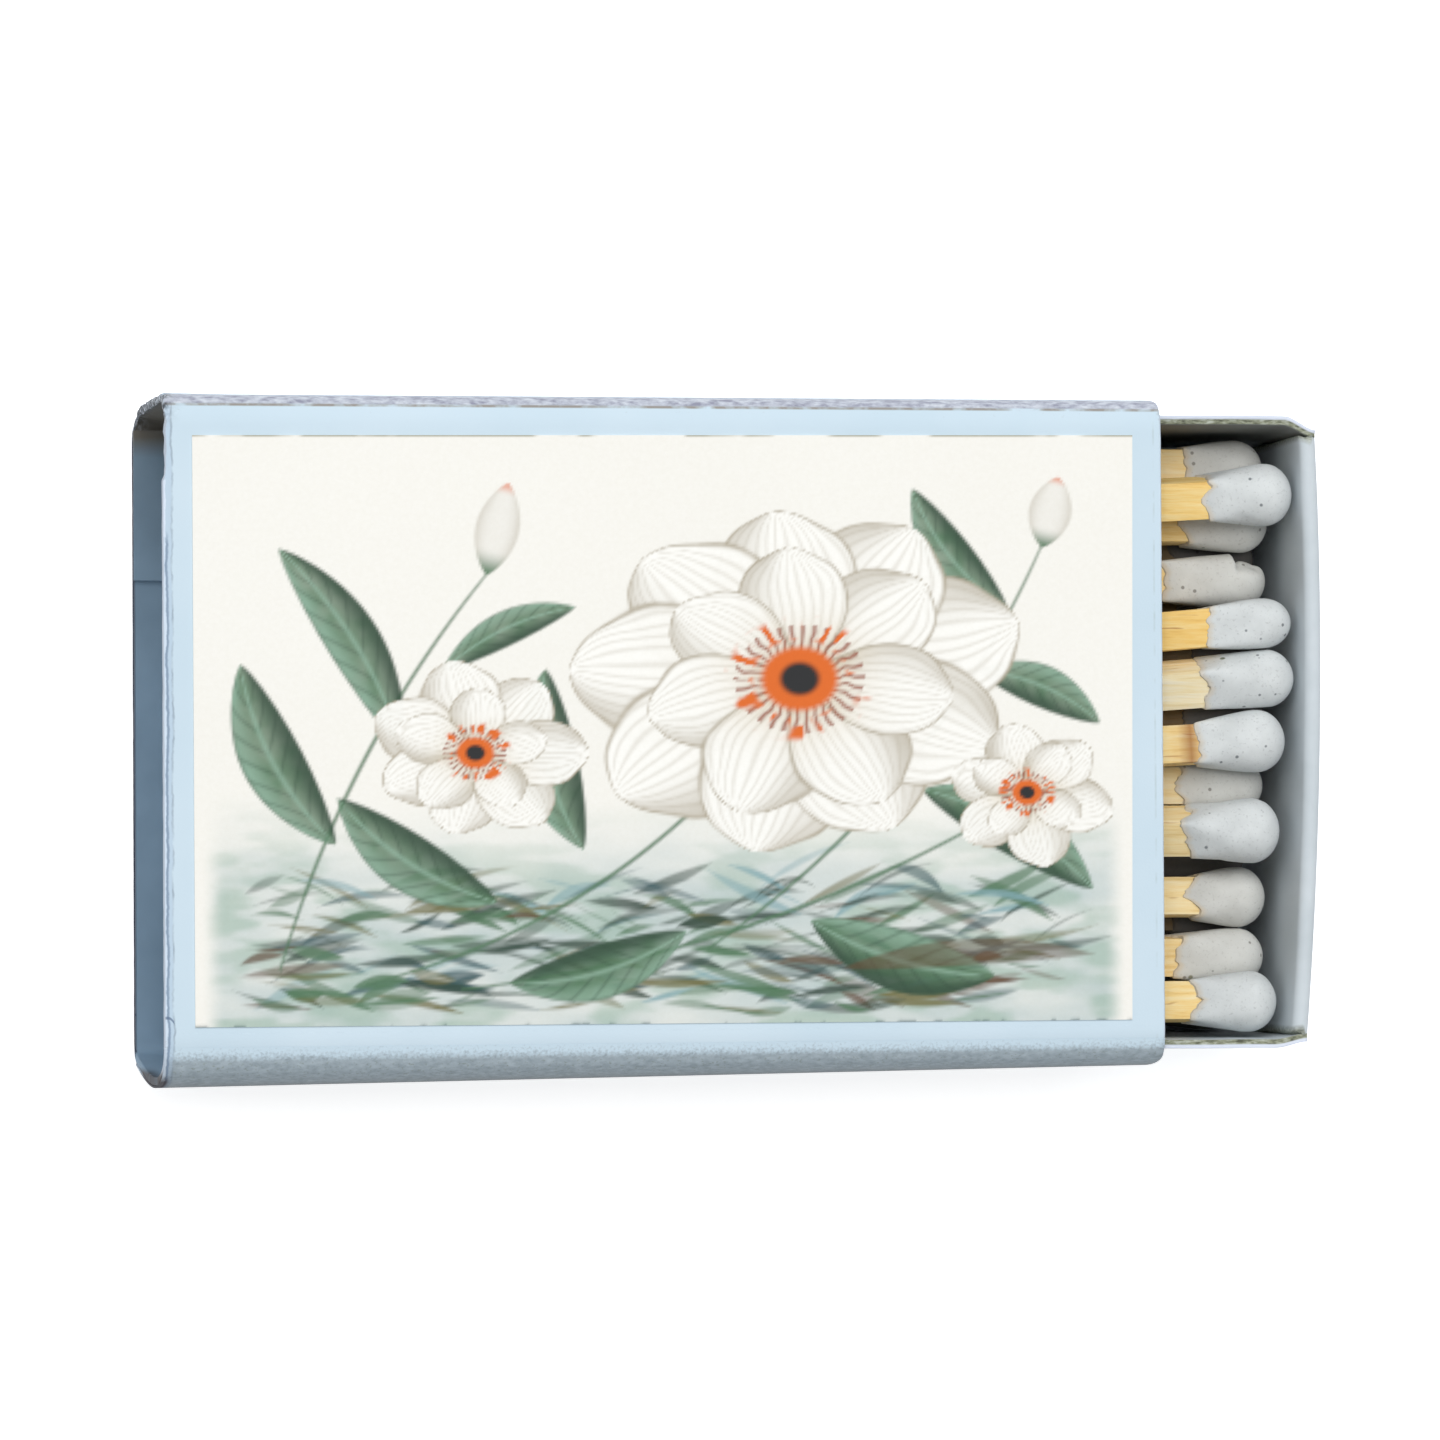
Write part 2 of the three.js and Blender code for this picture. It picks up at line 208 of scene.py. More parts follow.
def makeRoom():
    # painted studio floor: mat and nearly white, so that it shows only the object's soft shadow
    material = bpy.data.materials.new("paintedStudioFloor")
    tree = emptyTree(material)
    glow = addNode(tree, "Math", (cameraShare(tree), roomLight["floorGlow"]), operation="MULTIPLY")
    paint = addNode(tree, "BsdfPrincipled", {
        "Base Color": roomLight["floor"], "Roughness": 0.9,
        "Emission Color": (1, 1, 1, 1), "Emission Strength": glow})
    addNode(tree, "OutputMaterial", {"Surface": paint})
    half = roomLight["floorSize"] / 2 / mm
    corners = [(-half, -half, 0), (half, -half, 0), (half, half, 0), (-half, half, 0)]
    newMesh("studioFloor", corners, [(0, 1, 2, 3)], material, False)

    world = bpy.data.worlds.new("paleRoom")
    bpy.context.scene.world = world
    tree = emptyTree(world)
    strength = addNode(tree, "MapRange", {
        "Value": cameraShare(tree), "To Min": roomLight["sky"], "To Max": 1.0})
    sky = addNode(tree, "Background", {"Color": roomLight["skyColour"], "Strength": strength})
    addNode(tree, "OutputWorld", {"Surface": sky})

    for name in ("lamp", "side"):
        data = bpy.data.lights.new(name + "Softbox", "AREA")
        data.energy = roomLight[name + "Power"]
        data.size = roomLight[name + "Size"]
        lamp = bpy.data.objects.new(name + "Softbox", data)
        place = roomLight[name + "Place"]
        lamp.location = place
        away = math.atan2(math.hypot(place[0], place[1]), place[2])
        lamp.rotation_euler = (0, away, math.atan2(place[1], place[0]))
        bpy.context.scene.collection.objects.link(lamp)


makeCamera()
makeRoom()
print("stage: camera and room")


# Materials

def newMaterial(name):
    # a material, its empty tree, and the Object coordinates that its patterns read
    material = bpy.data.materials.new(name)
    tree = emptyTree(material)
    return material, tree, addNode(tree, "TexCoord", output="Object")


def finishSurface(tree, tint, roughness, specular, height, strength, depth):
    # the surface in its tint, with a bump of a real depth in mm
    bump = addNode(tree, "Bump", {"Strength": strength, "Distance": depth * mm, "Height": height})
    shader = addNode(tree, "BsdfPrincipled", {
        "Base Color": tint, "Roughness": roughness, "IOR": 1.5, "Specular IOR Level": specular,
        "Normal": bump})
    addNode(tree, "OutputMaterial", {"Surface": shader})


def speckle(tree, place, size, stretch=(1, 1, 1), detail=3.0, roughness=0.55):
    # noise whose grains measure about size, in mm, stretched along the axes
    scale = tuple(1 / (size * mm * s) for s in stretch)
    mapping = addNode(tree, "Mapping", {"Vector": place, "Scale": scale})
    return addNode(tree, "TexNoise", {
        "Vector": mapping, "Scale": 1.0, "Detail": detail, "Roughness": roughness})


def product(tree, *shares):
    # masks and fixed shares, multiplied; a name stands for a value that the piece's points carry
    total = None
    for share in shares:
        if isinstance(share, str):
            share = addNode(tree, "Attribute", output="Fac", attribute_name=share)
        total = share if total is None else addNode(tree, "Math", (total, share), operation="MULTIPLY")
    return total


def over(tree, tint, colour, *shares):
    # lays a colour over the tint, by the product of the shares
    return addNode(tree, "Mix", {0: product(tree, *shares), 6: tint, 7: colour}, 2, data_type="RGBA")


def between(tree, value, *edges):
    # soft edges on an axis: each is 0 at its first place and 1 at its second, in mm
    return product(tree, *(addNode(tree, "MapRange", (value, a * mm, b * mm)) for a, b in edges))


def line(tree, value, middle, half, soft):
    # a line about a place on one axis, in mm
    away = addNode(tree, "Math", (value, middle * mm), operation="SUBTRACT")
    away = addNode(tree, "Math", (away,), operation="ABSOLUTE")
    return between(tree, away, (half + soft, half))


def drift(tree, place, size, span):
    # noise about nought, over the given span
    centred = addNode(tree, "Math", (speckle(tree, place, size), 0.5), operation="SUBTRACT")
    return product(tree, centred, span)


def dots(tree, place, cell, radius, share):
    # round grains of the given radius, in mm, in a share of cells of the given size
    mapping = addNode(tree, "Mapping", {"Vector": place, "Scale": (1 / (cell * mm),) * 3})
    cells = addNode(tree, "TexVoronoi", {"Vector": mapping, "Scale": 1.0}).node.outputs
    kept = addNode(tree, "SeparateColor", (cells["Color"],))
    size = radius / cell
    dot = addNode(tree, "MapRange", (cells["Distance"], size * 1.15, size * 0.75))
    return product(tree, dot, addNode(tree, "MapRange", (kept, share, share - 0.02)))


# marks on the sleeve's print, in mm from the part's middle. A pair is where a mark is 0 and where it
# is full, and three values are a line's place, half its width and its soft edge
cardMarks = {
    "pressed": (-25.98, -26.06), "crease": (-26.0, 0.02, 0.06), "parted": (-26.27, 0.03, 0.06),
    "lit": (-26.44, 0.07, 0.05), "partedFront": (10.3, 9.6), "ply": (-26.3, -26.34),
    "plyBack": (12.95, 12.85), "plyFront": (9.9, 10.0), "nick": (-14.86, 0.04, 0.06),
    "nickStart": 26.3, "nickBend": 2.6, "nickEnd": (-25.96, -26.02), "rightLine": (26.05, 0.02, 0.06),
    "shoulder": (16.86, 16.94), "shoulderFoot": (12.6, 13.6), "backFold": (16.84, 0.04, 0.06),
    "pulpAndShade": (0.6, 10), "innerShadeBack": (2, 15), "cornerShadeBack": (14.9, 16.0), "cornerShadeEnd": (-23, -25),
    "lipShadow": (-26.36, -26.42), "lipShadowTop": (0.8, 0.6), "soilEnd": (-25.95, -26.25), "soilFront": (-17.8, -18.2),
}


def pressedEnd(tree, place, tint):
    # the sleeve's left end: a strip pressed down along the cut and a crease at its side, both as
    # painted shade; plies that part at its edge, as a painted shadow line and a painted highlight; and a
    # small bent tear near the front fold
    m = cardMarks
    x, y, _ = addNode(tree, "SeparateXYZ", (place,)).node.outputs
    along = speckle(tree, place, 1.1)
    wander = (drift(tree, place, 2.0, 0.3 * mm), drift(tree, place, 0.35, 0.12 * mm))
    bent = addNode(tree, "Math", (x, addNode(tree, "Math", wander, operation="ADD")), operation="ADD")
    # painted shade on the pressed strip and in the crease
    tint = over(tree, tint, "#A9BFD6", between(tree, bent, m["pressed"]), 0.42)
    broken = addNode(tree, "MapRange", (along, 0.3, 0.6))
    tint = over(tree, tint, "#8795A3", line(tree, bent, *m["crease"]), broken, 0.6)
    front = between(tree, y, m["partedFront"])
    # painted shadow in the gap where the plies part, and a painted highlight on the parted ply's edge
    tint = over(tree, tint, "#71849F", line(tree, bent, *m["parted"]), front, 0.7)
    tint = over(tree, tint, "#DCE8F6", line(tree, bent, *m["lit"]), front, 0.7)
    stretch = between(tree, y, m["plyBack"], m["plyFront"])
    tint = over(tree, tint, "#E2ECFA", stretch, between(tree, bent, m["ply"]), 0.8)
    # the tear's line falls away with the square of its distance from its start
    out = addNode(tree, "Math", (x, m["nickStart"] * mm), operation="ADD")
    out = addNode(tree, "Math", (out, 0), operation="MAXIMUM")
    fall = product(tree, out, out, m["nickBend"] / mm)
    tear = line(tree, addNode(tree, "Math", (y, fall), operation="ADD"), *m["nick"])
    return over(tree, tint, "#5C6F8C", tear, between(tree, bent, m["nickEnd"]), 0.75)


def makePrintedCard():
    # coated carton with a flat pale blue print: an even, slightly cool sheet, fine tooth from the
    # pulp, tiny dark specks, and bare grey fibre where cut edges and folds are rubbed
    material, tree, place = newMaterial("coatedCarton")
    m = cardMarks
    cloud = speckle(tree, place, 9.0)
    tint = addNode(tree, "ValToRGB", (cloud,), stops=((0.3, "#C9DCE8"), (0.7, "#D0E1EC")))
    tint = over(tree, tint, "#8C9A9B", dots(tree, place, 3.2, 0.1, 0.3))
    x, y, z = addNode(tree, "SeparateXYZ", (place,)).node.outputs
    along = speckle(tree, place, 1.1)
    tint = pressedEnd(tree, place, tint)
    # the right end: a faint line where the panel was pressed
    broken = addNode(tree, "MapRange", (along, 0.45, 0.7))
    tint = over(tree, tint, "#A9B7B4", line(tree, x, *m["rightLine"]), broken, 0.4)
    # the back fold: rubbed to a brown hairline, with a pale lilac wall behind it
    rub = addNode(tree, "ValToRGB", (speckle(tree, place, 0.35, (1.6, 1, 1)),),
                  stops=((0.32, "#9496A8"), (0.5, "#B9BECB"), (0.68, "#D3D9E2")))
    shoulder = between(tree, y, m["shoulder"])
    tint = over(tree, tint, rub, shoulder, between(tree, z, m["shoulderFoot"]))
    broken = addNode(tree, "MapRange", (along, 0.3, 0.55))
    tint = over(tree, tint, "#8F8478", line(tree, y, *m["backFold"]), broken, 0.85)
    grains = speckle(tree, place, 0.3)
    wear = addNode(tree, "Math", (grains, 0.9, product(tree, "wear")), operation="MULTIPLY_ADD")
    tint = over(tree, tint, "#A7B0B4", addNode(tree, "MapRange", (wear, 0.95, 1.25)))
    # painted shade: cut faces are dark near the floor
    pulpAndShade = over(tree, "#23273C", "#BFC9D6", between(tree, z, m["pulpAndShade"]))
    tint = over(tree, tint, pulpAndShade, "cut")
    # the inside is bare, bluer card, its tint partly painted shade; painted shade darkens it towards the
    # back, to brown in the torn corner
    inner = addNode(tree, "ValToRGB", (speckle(tree, place, 5.0),),
                    stops=((0.3, "#829AAE"), (0.7, "#90A9BE")))
    # painted shade: darker towards the back, and brown in the corner at the empty end
    inner = over(tree, inner, "#5E696E", between(tree, y, m["innerShadeBack"]), 0.35)
    corner = between(tree, y, m["cornerShadeBack"])
    inner = over(tree, inner, "#6A6050", corner, between(tree, x, m["cornerShadeEnd"]), 0.85)
    # painted shadow along the bottom panel's cut edge at the empty end
    lipShadow = between(tree, x, m["lipShadow"])
    inner = over(tree, inner, "#1E2136", lipShadow, between(tree, z, m["lipShadowTop"]), 0.85)
    tint = over(tree, tint, inner, "inside")
    fray = addNode(tree, "ValToRGB", (speckle(tree, place, 0.2, (1, 1.6, 1)),),
                   stops=((0.4, "#2F3237"), (0.52, "#7C828A"), (0.62, "#C9CFD8")))
    tint = over(tree, tint, fray, "scuff")
    tint = over(tree, tint, "#2A1F1B", "soil")
    finishSurface(tree, tint, 0.6, 0.1, speckle(tree, place, 0.12), strength=0.25, depth=0.02)
    return material


def makeStrikingCoat():
    # striking coat: ground glass and phosphorus in glue, rolled on thin: a mat grey-blue band,
    # mottled at about 0.4 mm, a little rough
    material, tree, place = newMaterial("rolledStrikingCoat")
    mottle = speckle(tree, place, 0.3, (1.5, 1, 1))
    tint = addNode(tree, "ValToRGB", (mottle,),
                   stops=((0.3, "#98A5AD"), (0.5, "#A7B4BC"), (0.72, "#B4C1C9")))
    # painted shade: the coat darkens towards the foot of the wall
    foot = addNode(tree, "ValToRGB", (mottle,), stops=((0.3, "#6F6E6D"), (0.7, "#878786")))
    tint = over(tree, tint, foot, "foot")
    grit = speckle(tree, place, 0.16, detail=1.0)
    tint = over(tree, tint, "#858F88", addNode(tree, "MapRange", (grit, 0.6, 0.72)), 0.55)
    # the coat thins out in freckles over the fold
    centred = addNode(tree, "Math", (grit, 0.5), operation="SUBTRACT")
    edge = addNode(tree, "Math", (product(tree, "fade"), product(tree, centred, 0.9)), operation="ADD")
    tint = over(tree, tint, "#C9DCE8", addNode(tree, "MapRange", (edge, 0.25, 0.75)))
    tint = pressedEnd(tree, place, tint)
    x, y, _ = addNode(tree, "SeparateXYZ", (place,)).node.outputs
    soiled = between(tree, x, cardMarks["soilEnd"])
    tint = over(tree, tint, "#3A2C27", soiled, between(tree, y, cardMarks["soilFront"]), 0.85)
    finishSurface(tree, tint, 0.95, 0.1, speckle(tree, place, 0.25), strength=0.5, depth=0.05)
    return material


def makeTrayCard():
    # uncoated white-lined card: soft cool white with a grey cut edge of pulp
    material, tree, place = newMaterial("whiteLinedCard")
    cloud = speckle(tree, place, 3.0, (1, 1, 2.5))
    tint = addNode(tree, "ValToRGB", (cloud,), stops=((0.3, "#C6CFD4"), (0.7, "#D2DADF")))
    fibre = addNode(tree, "ValToRGB", (speckle(tree, place, 0.16, (3, 1, 1)),),
                    stops=((0.32, "#5A5D4E"), (0.5, "#90947F"), (0.7, "#BFC4B8")))
    tint = over(tree, tint, fibre, "raw")
    tint = over(tree, tint, "#DDE4F2", "liner")
    # painted shade on the inside of the back wall
    tint = over(tree, tint, "#5B5546", "rubbed")
    finishSurface(tree, tint, 0.8, 0.25, speckle(tree, place, 0.14), strength=0.3, depth=0.02)
    return material


def makeWood():
    # aspen splint, peeled and chopped: pale gold with straight grain along the stick, darker pores
    # and a warm streak here and there
    material, tree, place = newMaterial("choppedAspen")
    sticks = speckle(tree, place, 3.4, (12, 1, 1), detail=1.0)
    grain = speckle(tree, place, 0.3, (14, 1, 1), detail=5.0, roughness=0.65)
    tint = addNode(tree, "ValToRGB", (grain,), stops=(
        (0.25, "#E6CC90"), (0.45, "#F8E6B8"), (0.62, "#FBEFD0"), (0.8, "#FCF6E4")))
    warm = addNode(tree, "ValToRGB", (grain,), stops=(
        (0.25, "#E0B05A"), (0.45, "#F7D07C"), (0.62, "#FBDE98"), (0.8, "#FDEABA")))
    tint = over(tree, tint, warm, "warmth")
    golden = addNode(tree, "MapRange", (sticks, 0.4, 0.7))
    tint = over(tree, tint, "#DDAA50", golden, "warmth", 0.35)
    streak = speckle(tree, place, 0.42, (10, 1, 1), detail=2.0)
    tint = over(tree, tint, "#A8672B", addNode(tree, "MapRange", (streak, 0.7, 0.78)))
    tint = over(tree, tint, "#D9B878", "end")
    tint = over(tree, tint, "#9A5A22", "bruise")
    # painted shade: the matches that no light reaches are darkened
    tint = over(tree, tint, "#5A4225", "dim")
    finishSurface(tree, tint, 0.62, 0.3, grain, strength=0.6, depth=0.05)
    return material


def makePaste():
    # dipped head paste, dried: chalky grey-white with pin holes and dark grains, and a thin warm
    # film where it runs out on the wood
    material, tree, place = newMaterial("driedHeadPaste")
    cloud = speckle(tree, place, 1.3)
    tint = addNode(tree, "ValToRGB", (cloud,), stops=((0.3, "#CED2D2"), (0.7, "#DBDFDF")))
    grain = dots(tree, place, 0.7, 0.1, 0.45)
    tint = over(tree, tint, "#6E7377", grain, 0.85)
    rare = dots(tree, place, 1.9, 0.16, 0.35)
    tint = over(tree, tint, "#747B69", rare)
    dust = addNode(tree, "MapRange", (speckle(tree, place, 0.16, detail=2.0), 0.58, 0.75))
    tint = over(tree, tint, "#9B9D9D", dust, 0.4)
    # a thin warm film where the paste runs out on the wood, and painted warm shade on the lower matches'
    # paste
    tint = over(tree, tint, "#D2BC97", "film")
    # painted shade: the paste of the matches that no light reaches is darkened
    tint = over(tree, tint, "#4C4743", "dim")
    pits = addNode(tree, "Math", (grain, rare), operation="ADD")
    pits = addNode(tree, "Math", (pits, product(tree, dust, 0.35)), operation="ADD")
    finishSurface(tree, tint, 0.78, 0.3, pits, strength=-0.7, depth=0.06)
    return material


def makeLabelPaper():
    # cream wove paper with a water-colour print: the colours are in the piece's own attribute
    material, tree, place = newMaterial("creamWovePaper")
    ink = addNode(tree, "Attribute", attribute_name="ink")
    tooth = speckle(tree, place, 0.2)
    pale = addNode(tree, "ValToRGB", (tooth,), stops=((0.3, "#F6F5F2"), (0.7, "#FFFFFF")))
    tint = addNode(tree, "Mix", {0: 0.35, 6: ink, 7: pale}, 2, data_type="RGBA", blend_type="MULTIPLY")
    finishSurface(tree, tint, 0.6, 0.3, tooth, strength=0.15, depth=0.01)
    return material


printedCard = makePrintedCard()
strikingCoat = makeStrikingCoat()
trayCard = makeTrayCard()
splintWood = makeWood()
headPaste = makePaste()
labelPaper = makeLabelPaper()
print("stage: materials")


# Sleeve

sleeveShape = {
    "width": 33.6, "height": 15.0, "card": 0.45, "fold": 0.9,  # mm, as the solid
    "lean": 0.45, "frontBow": (1.5, 0.78), "backBow": 0.79, "control": 0.9, "bendZone": 0.6,
    "backSplay": 0.65, "splayLength": 4.0,  # the back wall's foot, spread at the empty end by use
    "edgeRound": 0.09, "ragged": 0.05, "raggedLength": (1.2, 0.1),
    "stations": 120, "crowding": 1.7, "around": 320,
    "lapWidth": 8.0, "lapInset": 0.02, "lapWander": 0.12, "lapStations": 60,
}
# wear and painted shade at the empty end, in mm: how far they reach, and the places across the sleeve where
# they set in
emptyEnd = {
    "depth": 0.5, "torn": (16.2, 16.9), "lumps": 0.35, "hollows": 0.16,
    "frayed": ((12.9, 13.05), (16.6, 16.2)), "frayedAbove": 12, "frayDepth": (0.06, 0.16),
    "shadedCutTo": 14, "shadedCutAbove": 0.5, "shadedCutTop": (12.5, 11.5),
    "scuffReach": 0.55, "scuffed": (15.6, 16.4), "scuffedTop": 16.7,
    "soilReach": 0.6, "soiled": (-17.5, -17.95),
}


def bulge(height):
    # share of the bulge at a height: a curve through both folds, fullest above the middle
    k = sleeveShape["control"]
    rise = np.clip(height / sleeveShape["height"], 0, 1)
    along = (k - np.sqrt(k * k - (2 * k - 1) * rise)) / (2 * k - 1)
    return 4 * along * (1 - along)


def bendWalls(x, y, z, length):
    # moves the long walls out by the bulge, and the front one by its lean as well
    s = sleeveShape
    left, right = s["frontBow"]
    bow = left + (right - left) * (x / length + 0.5)
    zone = s["width"] / 2 - 2 * s["fold"]
    front = s["lean"] * (1 - z / s["height"]) + bow * bulge(z)
    share = smooth(zone - s["bendZone"], zone + s["bendZone"], np.abs(y))
    splay = s["backSplay"] * smooth(s["splayLength"] - length / 2, -length / 2, x)
    back = np.maximum(s["backBow"] * bulge(z), 0) + splay * (1 - z / s["height"]) ** 1.5
    return np.where(y > 0, y + share * np.minimum(back, s["backBow"]), y - share * front)


def roundedBox(halfWidth, low, high, radius, count):
    # points at even steps round a box with round corners, from the middle of the bottom
    sides = [halfWidth - radius, high - low - 2 * radius, 2 * (halfWidth - radius),
             high - low - 2 * radius, halfWidth - radius]
    arc = math.pi / 2 * radius
    marks = np.cumsum([0, sides[0], arc, sides[1], arc, sides[2], arc, sides[3], arc, sides[4]])
    t = np.arange(count) / count * marks[-1]
    y, z = np.zeros(count), np.zeros(count)
    corners = [(halfWidth - radius, low + radius), (halfWidth - radius, high - radius),
               (radius - halfWidth, high - radius), (radius - halfWidth, low + radius)]
    starts = [(0, low), (halfWidth, low + radius), (halfWidth - radius, high),
              (-halfWidth, high - radius), (radius - halfWidth, low)]
    ways = [(1, 0), (0, 1), (-1, 0), (0, -1), (1, 0)]
    for k in range(9):
        part = (t >= marks[k]) & (t <= marks[k + 1])
        run = t[part] - marks[k]
        if k % 2 == 0:
            (sy, sz), (wy, wz) = starts[k // 2], ways[k // 2]
            y[part], z[part] = sy + wy * run, sz + wz * run
        else:
            cy, cz = corners[k // 2]
            angle = -math.pi / 2 + (k // 2) * math.pi / 2 + run / radius
            y[part], z[part] = cy + radius * np.cos(angle), cz + radius * np.sin(angle)
    return y, z


def sleeveStations(half):
    # stations run out along the outside, over the right cut edge, back inside and over the left
    # one; each has its place and its depth in the card, from 0 outside to 1 inside
    s = sleeveShape
    spread = np.linspace(-1, 1, s["stations"])
    spread = np.sign(spread) * (1 - (1 - np.abs(spread)) ** s["crowding"])
    straight = spread * (half - s["edgeRound"])
    shoulder = half - s["edgeRound"] * 0.3
    edge = np.array([shoulder, half, half, shoulder])
    through = np.array([0.06, 0.3, 0.7, 0.94])
    flat = np.zeros(s["stations"])
    return (np.concatenate([straight, edge, -straight, -edge]),
            np.concatenate([flat, through, flat + 1, through[::-1]])[:, None])


def tearEmptyEnd(x, y, z, share, half):
    # the back corner of the empty end is torn, and its pulp stands up in lumps
    e = emptyEnd
    corner = smooth(-half + e["depth"], -half, x) * smooth(*e["torn"], y)
    x = x + corner * e["lumps"] * layered(y * 2.2, z * 1.1 + share, 14)
    y = y - corner * e["hollows"] * layered(z * 1.7, share * 3, 16)
    # the top panel's edge is frayed beside that corner
    start, stop = e["frayed"]
    frayed = smooth(-half + e["depth"], -half, x) * smooth(*start, y) * smooth(*stop, y)
    least, more = e["frayDepth"]
    return x + frayed * (z > e["frayedAbove"]) * (least + more * layered(y * 5, z * 3, 21)), y


def makeSleeve():
    low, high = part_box("sleeve")
    length = (high.x - low.x) / mm
    half = length / 2
    s = sleeveShape
    outerY, outerZ = roundedBox(s["width"] / 2, 0, s["height"], s["fold"], s["around"])
    innerY, innerZ = roundedBox(s["width"] / 2 - s["card"], s["card"], s["height"] - s["card"],
                                s["fold"] - s["card"], s["around"])
    xs, share = sleeveStations(half)
    x, _ = np.meshgrid(xs, outerY, indexing="ij")
    y = outerY * (1 - share) + innerY * share
    z = outerZ * (1 - share) + innerZ * share
    turn = np.arange(s["around"]) / s["around"]
    far, near = s["raggedLength"]
    ragged = s["ragged"] * (layered(turn * 90, share * 2, 3) - 0.5)
    ragged = np.abs(ragged * smooth(half - far, half - near, np.abs(x)))
    y = bendWalls(x, y, z, length)
    x, y = tearEmptyEnd(x - ragged * np.sign(x), y, z, share, half)
    points = np.stack([x, y, z], -1).reshape(-1, 3)
    piece = faceOut(newMesh("sleeveCard", points, gridFaces(*x.shape, True, True), printedCard))
    wearSleeve(piece, x, y, z, share, outerY, half)
    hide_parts("sleeve")
    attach(piece, "sleeve")
    makeLap(half)
    return length


def wearSleeve(piece, x, y, z, share, outerY, half):
    # shares of rubbed print, bare cut, inner face with the painted shade on the cut's inner plies, torn
    # fibre and soil at each point
    s, e = sleeveShape, emptyEnd
    outside, inside = share < 0.02, share >= 0.98
    edge = half - np.abs(x)
    cut = ~(outside | inside) * np.ones_like(x)
    foldLine = np.abs(np.abs(outerY) - s["width"] / 2 + s["fold"] * 0.5)
    nearTop = smooth(s["height"] - 1.6, s["height"] - 0.4, z)
    wear = 0.42 * np.exp(-edge / 0.25) + 0.38 * np.exp(-(foldLine / 0.35) ** 2) * nearTop
    # painted shade: at the empty end the cut's inner plies take the inside's colour, so only its outer ply
    # shows light at the cut
    shadedCut = cut * (share > 0.25) * (x < 0) * (y < e["shadedCutTo"]) * (z > e["shadedCutAbove"])
    shadedCut = shadedCut * smooth(*e["shadedCutTop"], z)
    torn = np.exp(-((x + half) / e["scuffReach"]) ** 2) * smooth(*e["scuffed"], y)
    torn = torn * np.where(inside, 0.35, np.where(outside & (y < e["scuffedTop"]), 0.3, 1.0))
    scuff = torn * 1.3 * smooth(0.2, 0.45, layered(y * 5, z * 3, 5))
    soil = np.exp(-((x + half) / e["soilReach"]) ** 2) * smooth(*e["soiled"], y)
    soil = soil * (0.7 + 0.4 * noise(z * 2, x * 3, 6))
    addValues(piece, wear=wear * (share < 0.5), cut=cut, inside=np.maximum(inside, shadedCut),
              scuff=np.clip(scuff, 0, 1), soil=np.clip(soil, 0, 1))


def makeLap(half):
    # glued lap inside the bottom, along the back fold
    s = sleeveShape
    inner = s["width"] / 2 - s["card"]
    across = np.array([inner - s["lapWidth"], inner - s["lapWidth"], inner, inner])
    up = np.array([s["card"], s["card"] * 2, s["card"] * 2, s["card"]])
    along = np.linspace(-half + s["lapInset"], half - s["lapInset"], s["lapStations"])
    x, y = np.meshgrid(along, across, indexing="ij")
    wander = s["lapWander"] * (layered(along * 0.35, 0, 8) - 0.5)[:, None] * (np.arange(4) < 2)
    lap = makeTube("sleeveLap", x, y + wander, up * np.ones_like(x), printedCard, False)
    addValues(lap, wear=0, cut=0, inside=1, scuff=0, soil=0)
    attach(lap, "sleeve")


strikerShape = {
    "gap": 0.02, "coat": 0.098, "inset": 0.02, "overFold": 66,  # mm, and degrees round the fold
    "foldStations": 20, "wallStations": 74, "stations": 160,
    "ragged": 0.08, "fade": (-0.35, 0.13), "foot": (0.97, 0.6),  # foot: shares of the height over which painted shade darkens the coat towards the bottom
}


def makeStriker(length):
    low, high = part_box("striker")
    s, c = sleeveShape, strikerShape
    # up the wall and a little way over the fold
    turn = np.linspace(0, math.radians(c["overFold"]), c["foldStations"])[1:]
    wall = np.linspace(low.z / mm, high.z / mm, c["wallStations"])
    loopY, loopZ = [], []
    for offset in (c["gap"], c["gap"] + c["coat"]):
        thick = (offset - c["gap"] / 2) * smooth(turn[-1], turn[-1] * 0.6, turn)
        radius = s["fold"] + c["gap"] / 2 + thick
        loopY.append(np.concatenate([np.full(c["wallStations"], -s["width"] / 2 - offset),
                                     -s["width"] / 2 + s["fold"] - radius * np.cos(turn)]))
        loopZ.append(np.concatenate([wall, s["height"] - s["fold"] + radius * np.sin(turn)]))
    loopY = np.concatenate([loopY[0], loopY[1][::-1]])
    loopZ = np.concatenate([loopZ[0], loopZ[1][::-1]])
    xs = np.linspace(-length / 2 + c["inset"], length / 2 - c["inset"], c["stations"])
    x, y = np.meshgrid(xs, loopY, indexing="ij")
    z = loopZ * np.ones_like(x)
    y = bendWalls(x, y, z, length)
    piece = makeTube("strikerCoat", x, y, z, strikingCoat)
    top = loopZ.max()
    ragged = c["ragged"] * layered(x * 1.4, 0 * x, 4)
    start, stop = c["fade"]
    upper, lower = c["foot"]
    addValues(piece, fade=smooth(top + start - ragged, top + stop, z),
              foot=smooth(s["height"] * upper, s["height"] * lower, z))
    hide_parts("striker")
    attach(piece, "sleeve")


sleeveLength = makeSleeve()
makeStriker(sleeveLength)
print("stage: sleeve")


# Label: a flower spray in water colour, painted as layers of colour over the sheet

labelArt = {
    "step": 0.128,  # mm between points: about the finest soft stroke
    "corners": ((-0.05, -0.14), (0.0, 0.14), (-0.22, 0.0)),  # mm: back left, back right, front right
    "belowTop": 0.004, "squash": 0.82,
    "paper": "#F3F1EA", "petal": "#FBFAF5", "shade": "#A79C86", "warm": "#C4AC7C",
    "leafDark": "#1E3A2A", "leaf": "#4C7353", "leafPale": "#8CAE99", "sea": "#7FA5AB", "seaDark": "#2C5259",
    "heart": "#DF6A20", "heartDark": "#8F3A10", "ink": "#17181A", "brown": "#5B3C1F", "olive": "#6F6A3A",
}
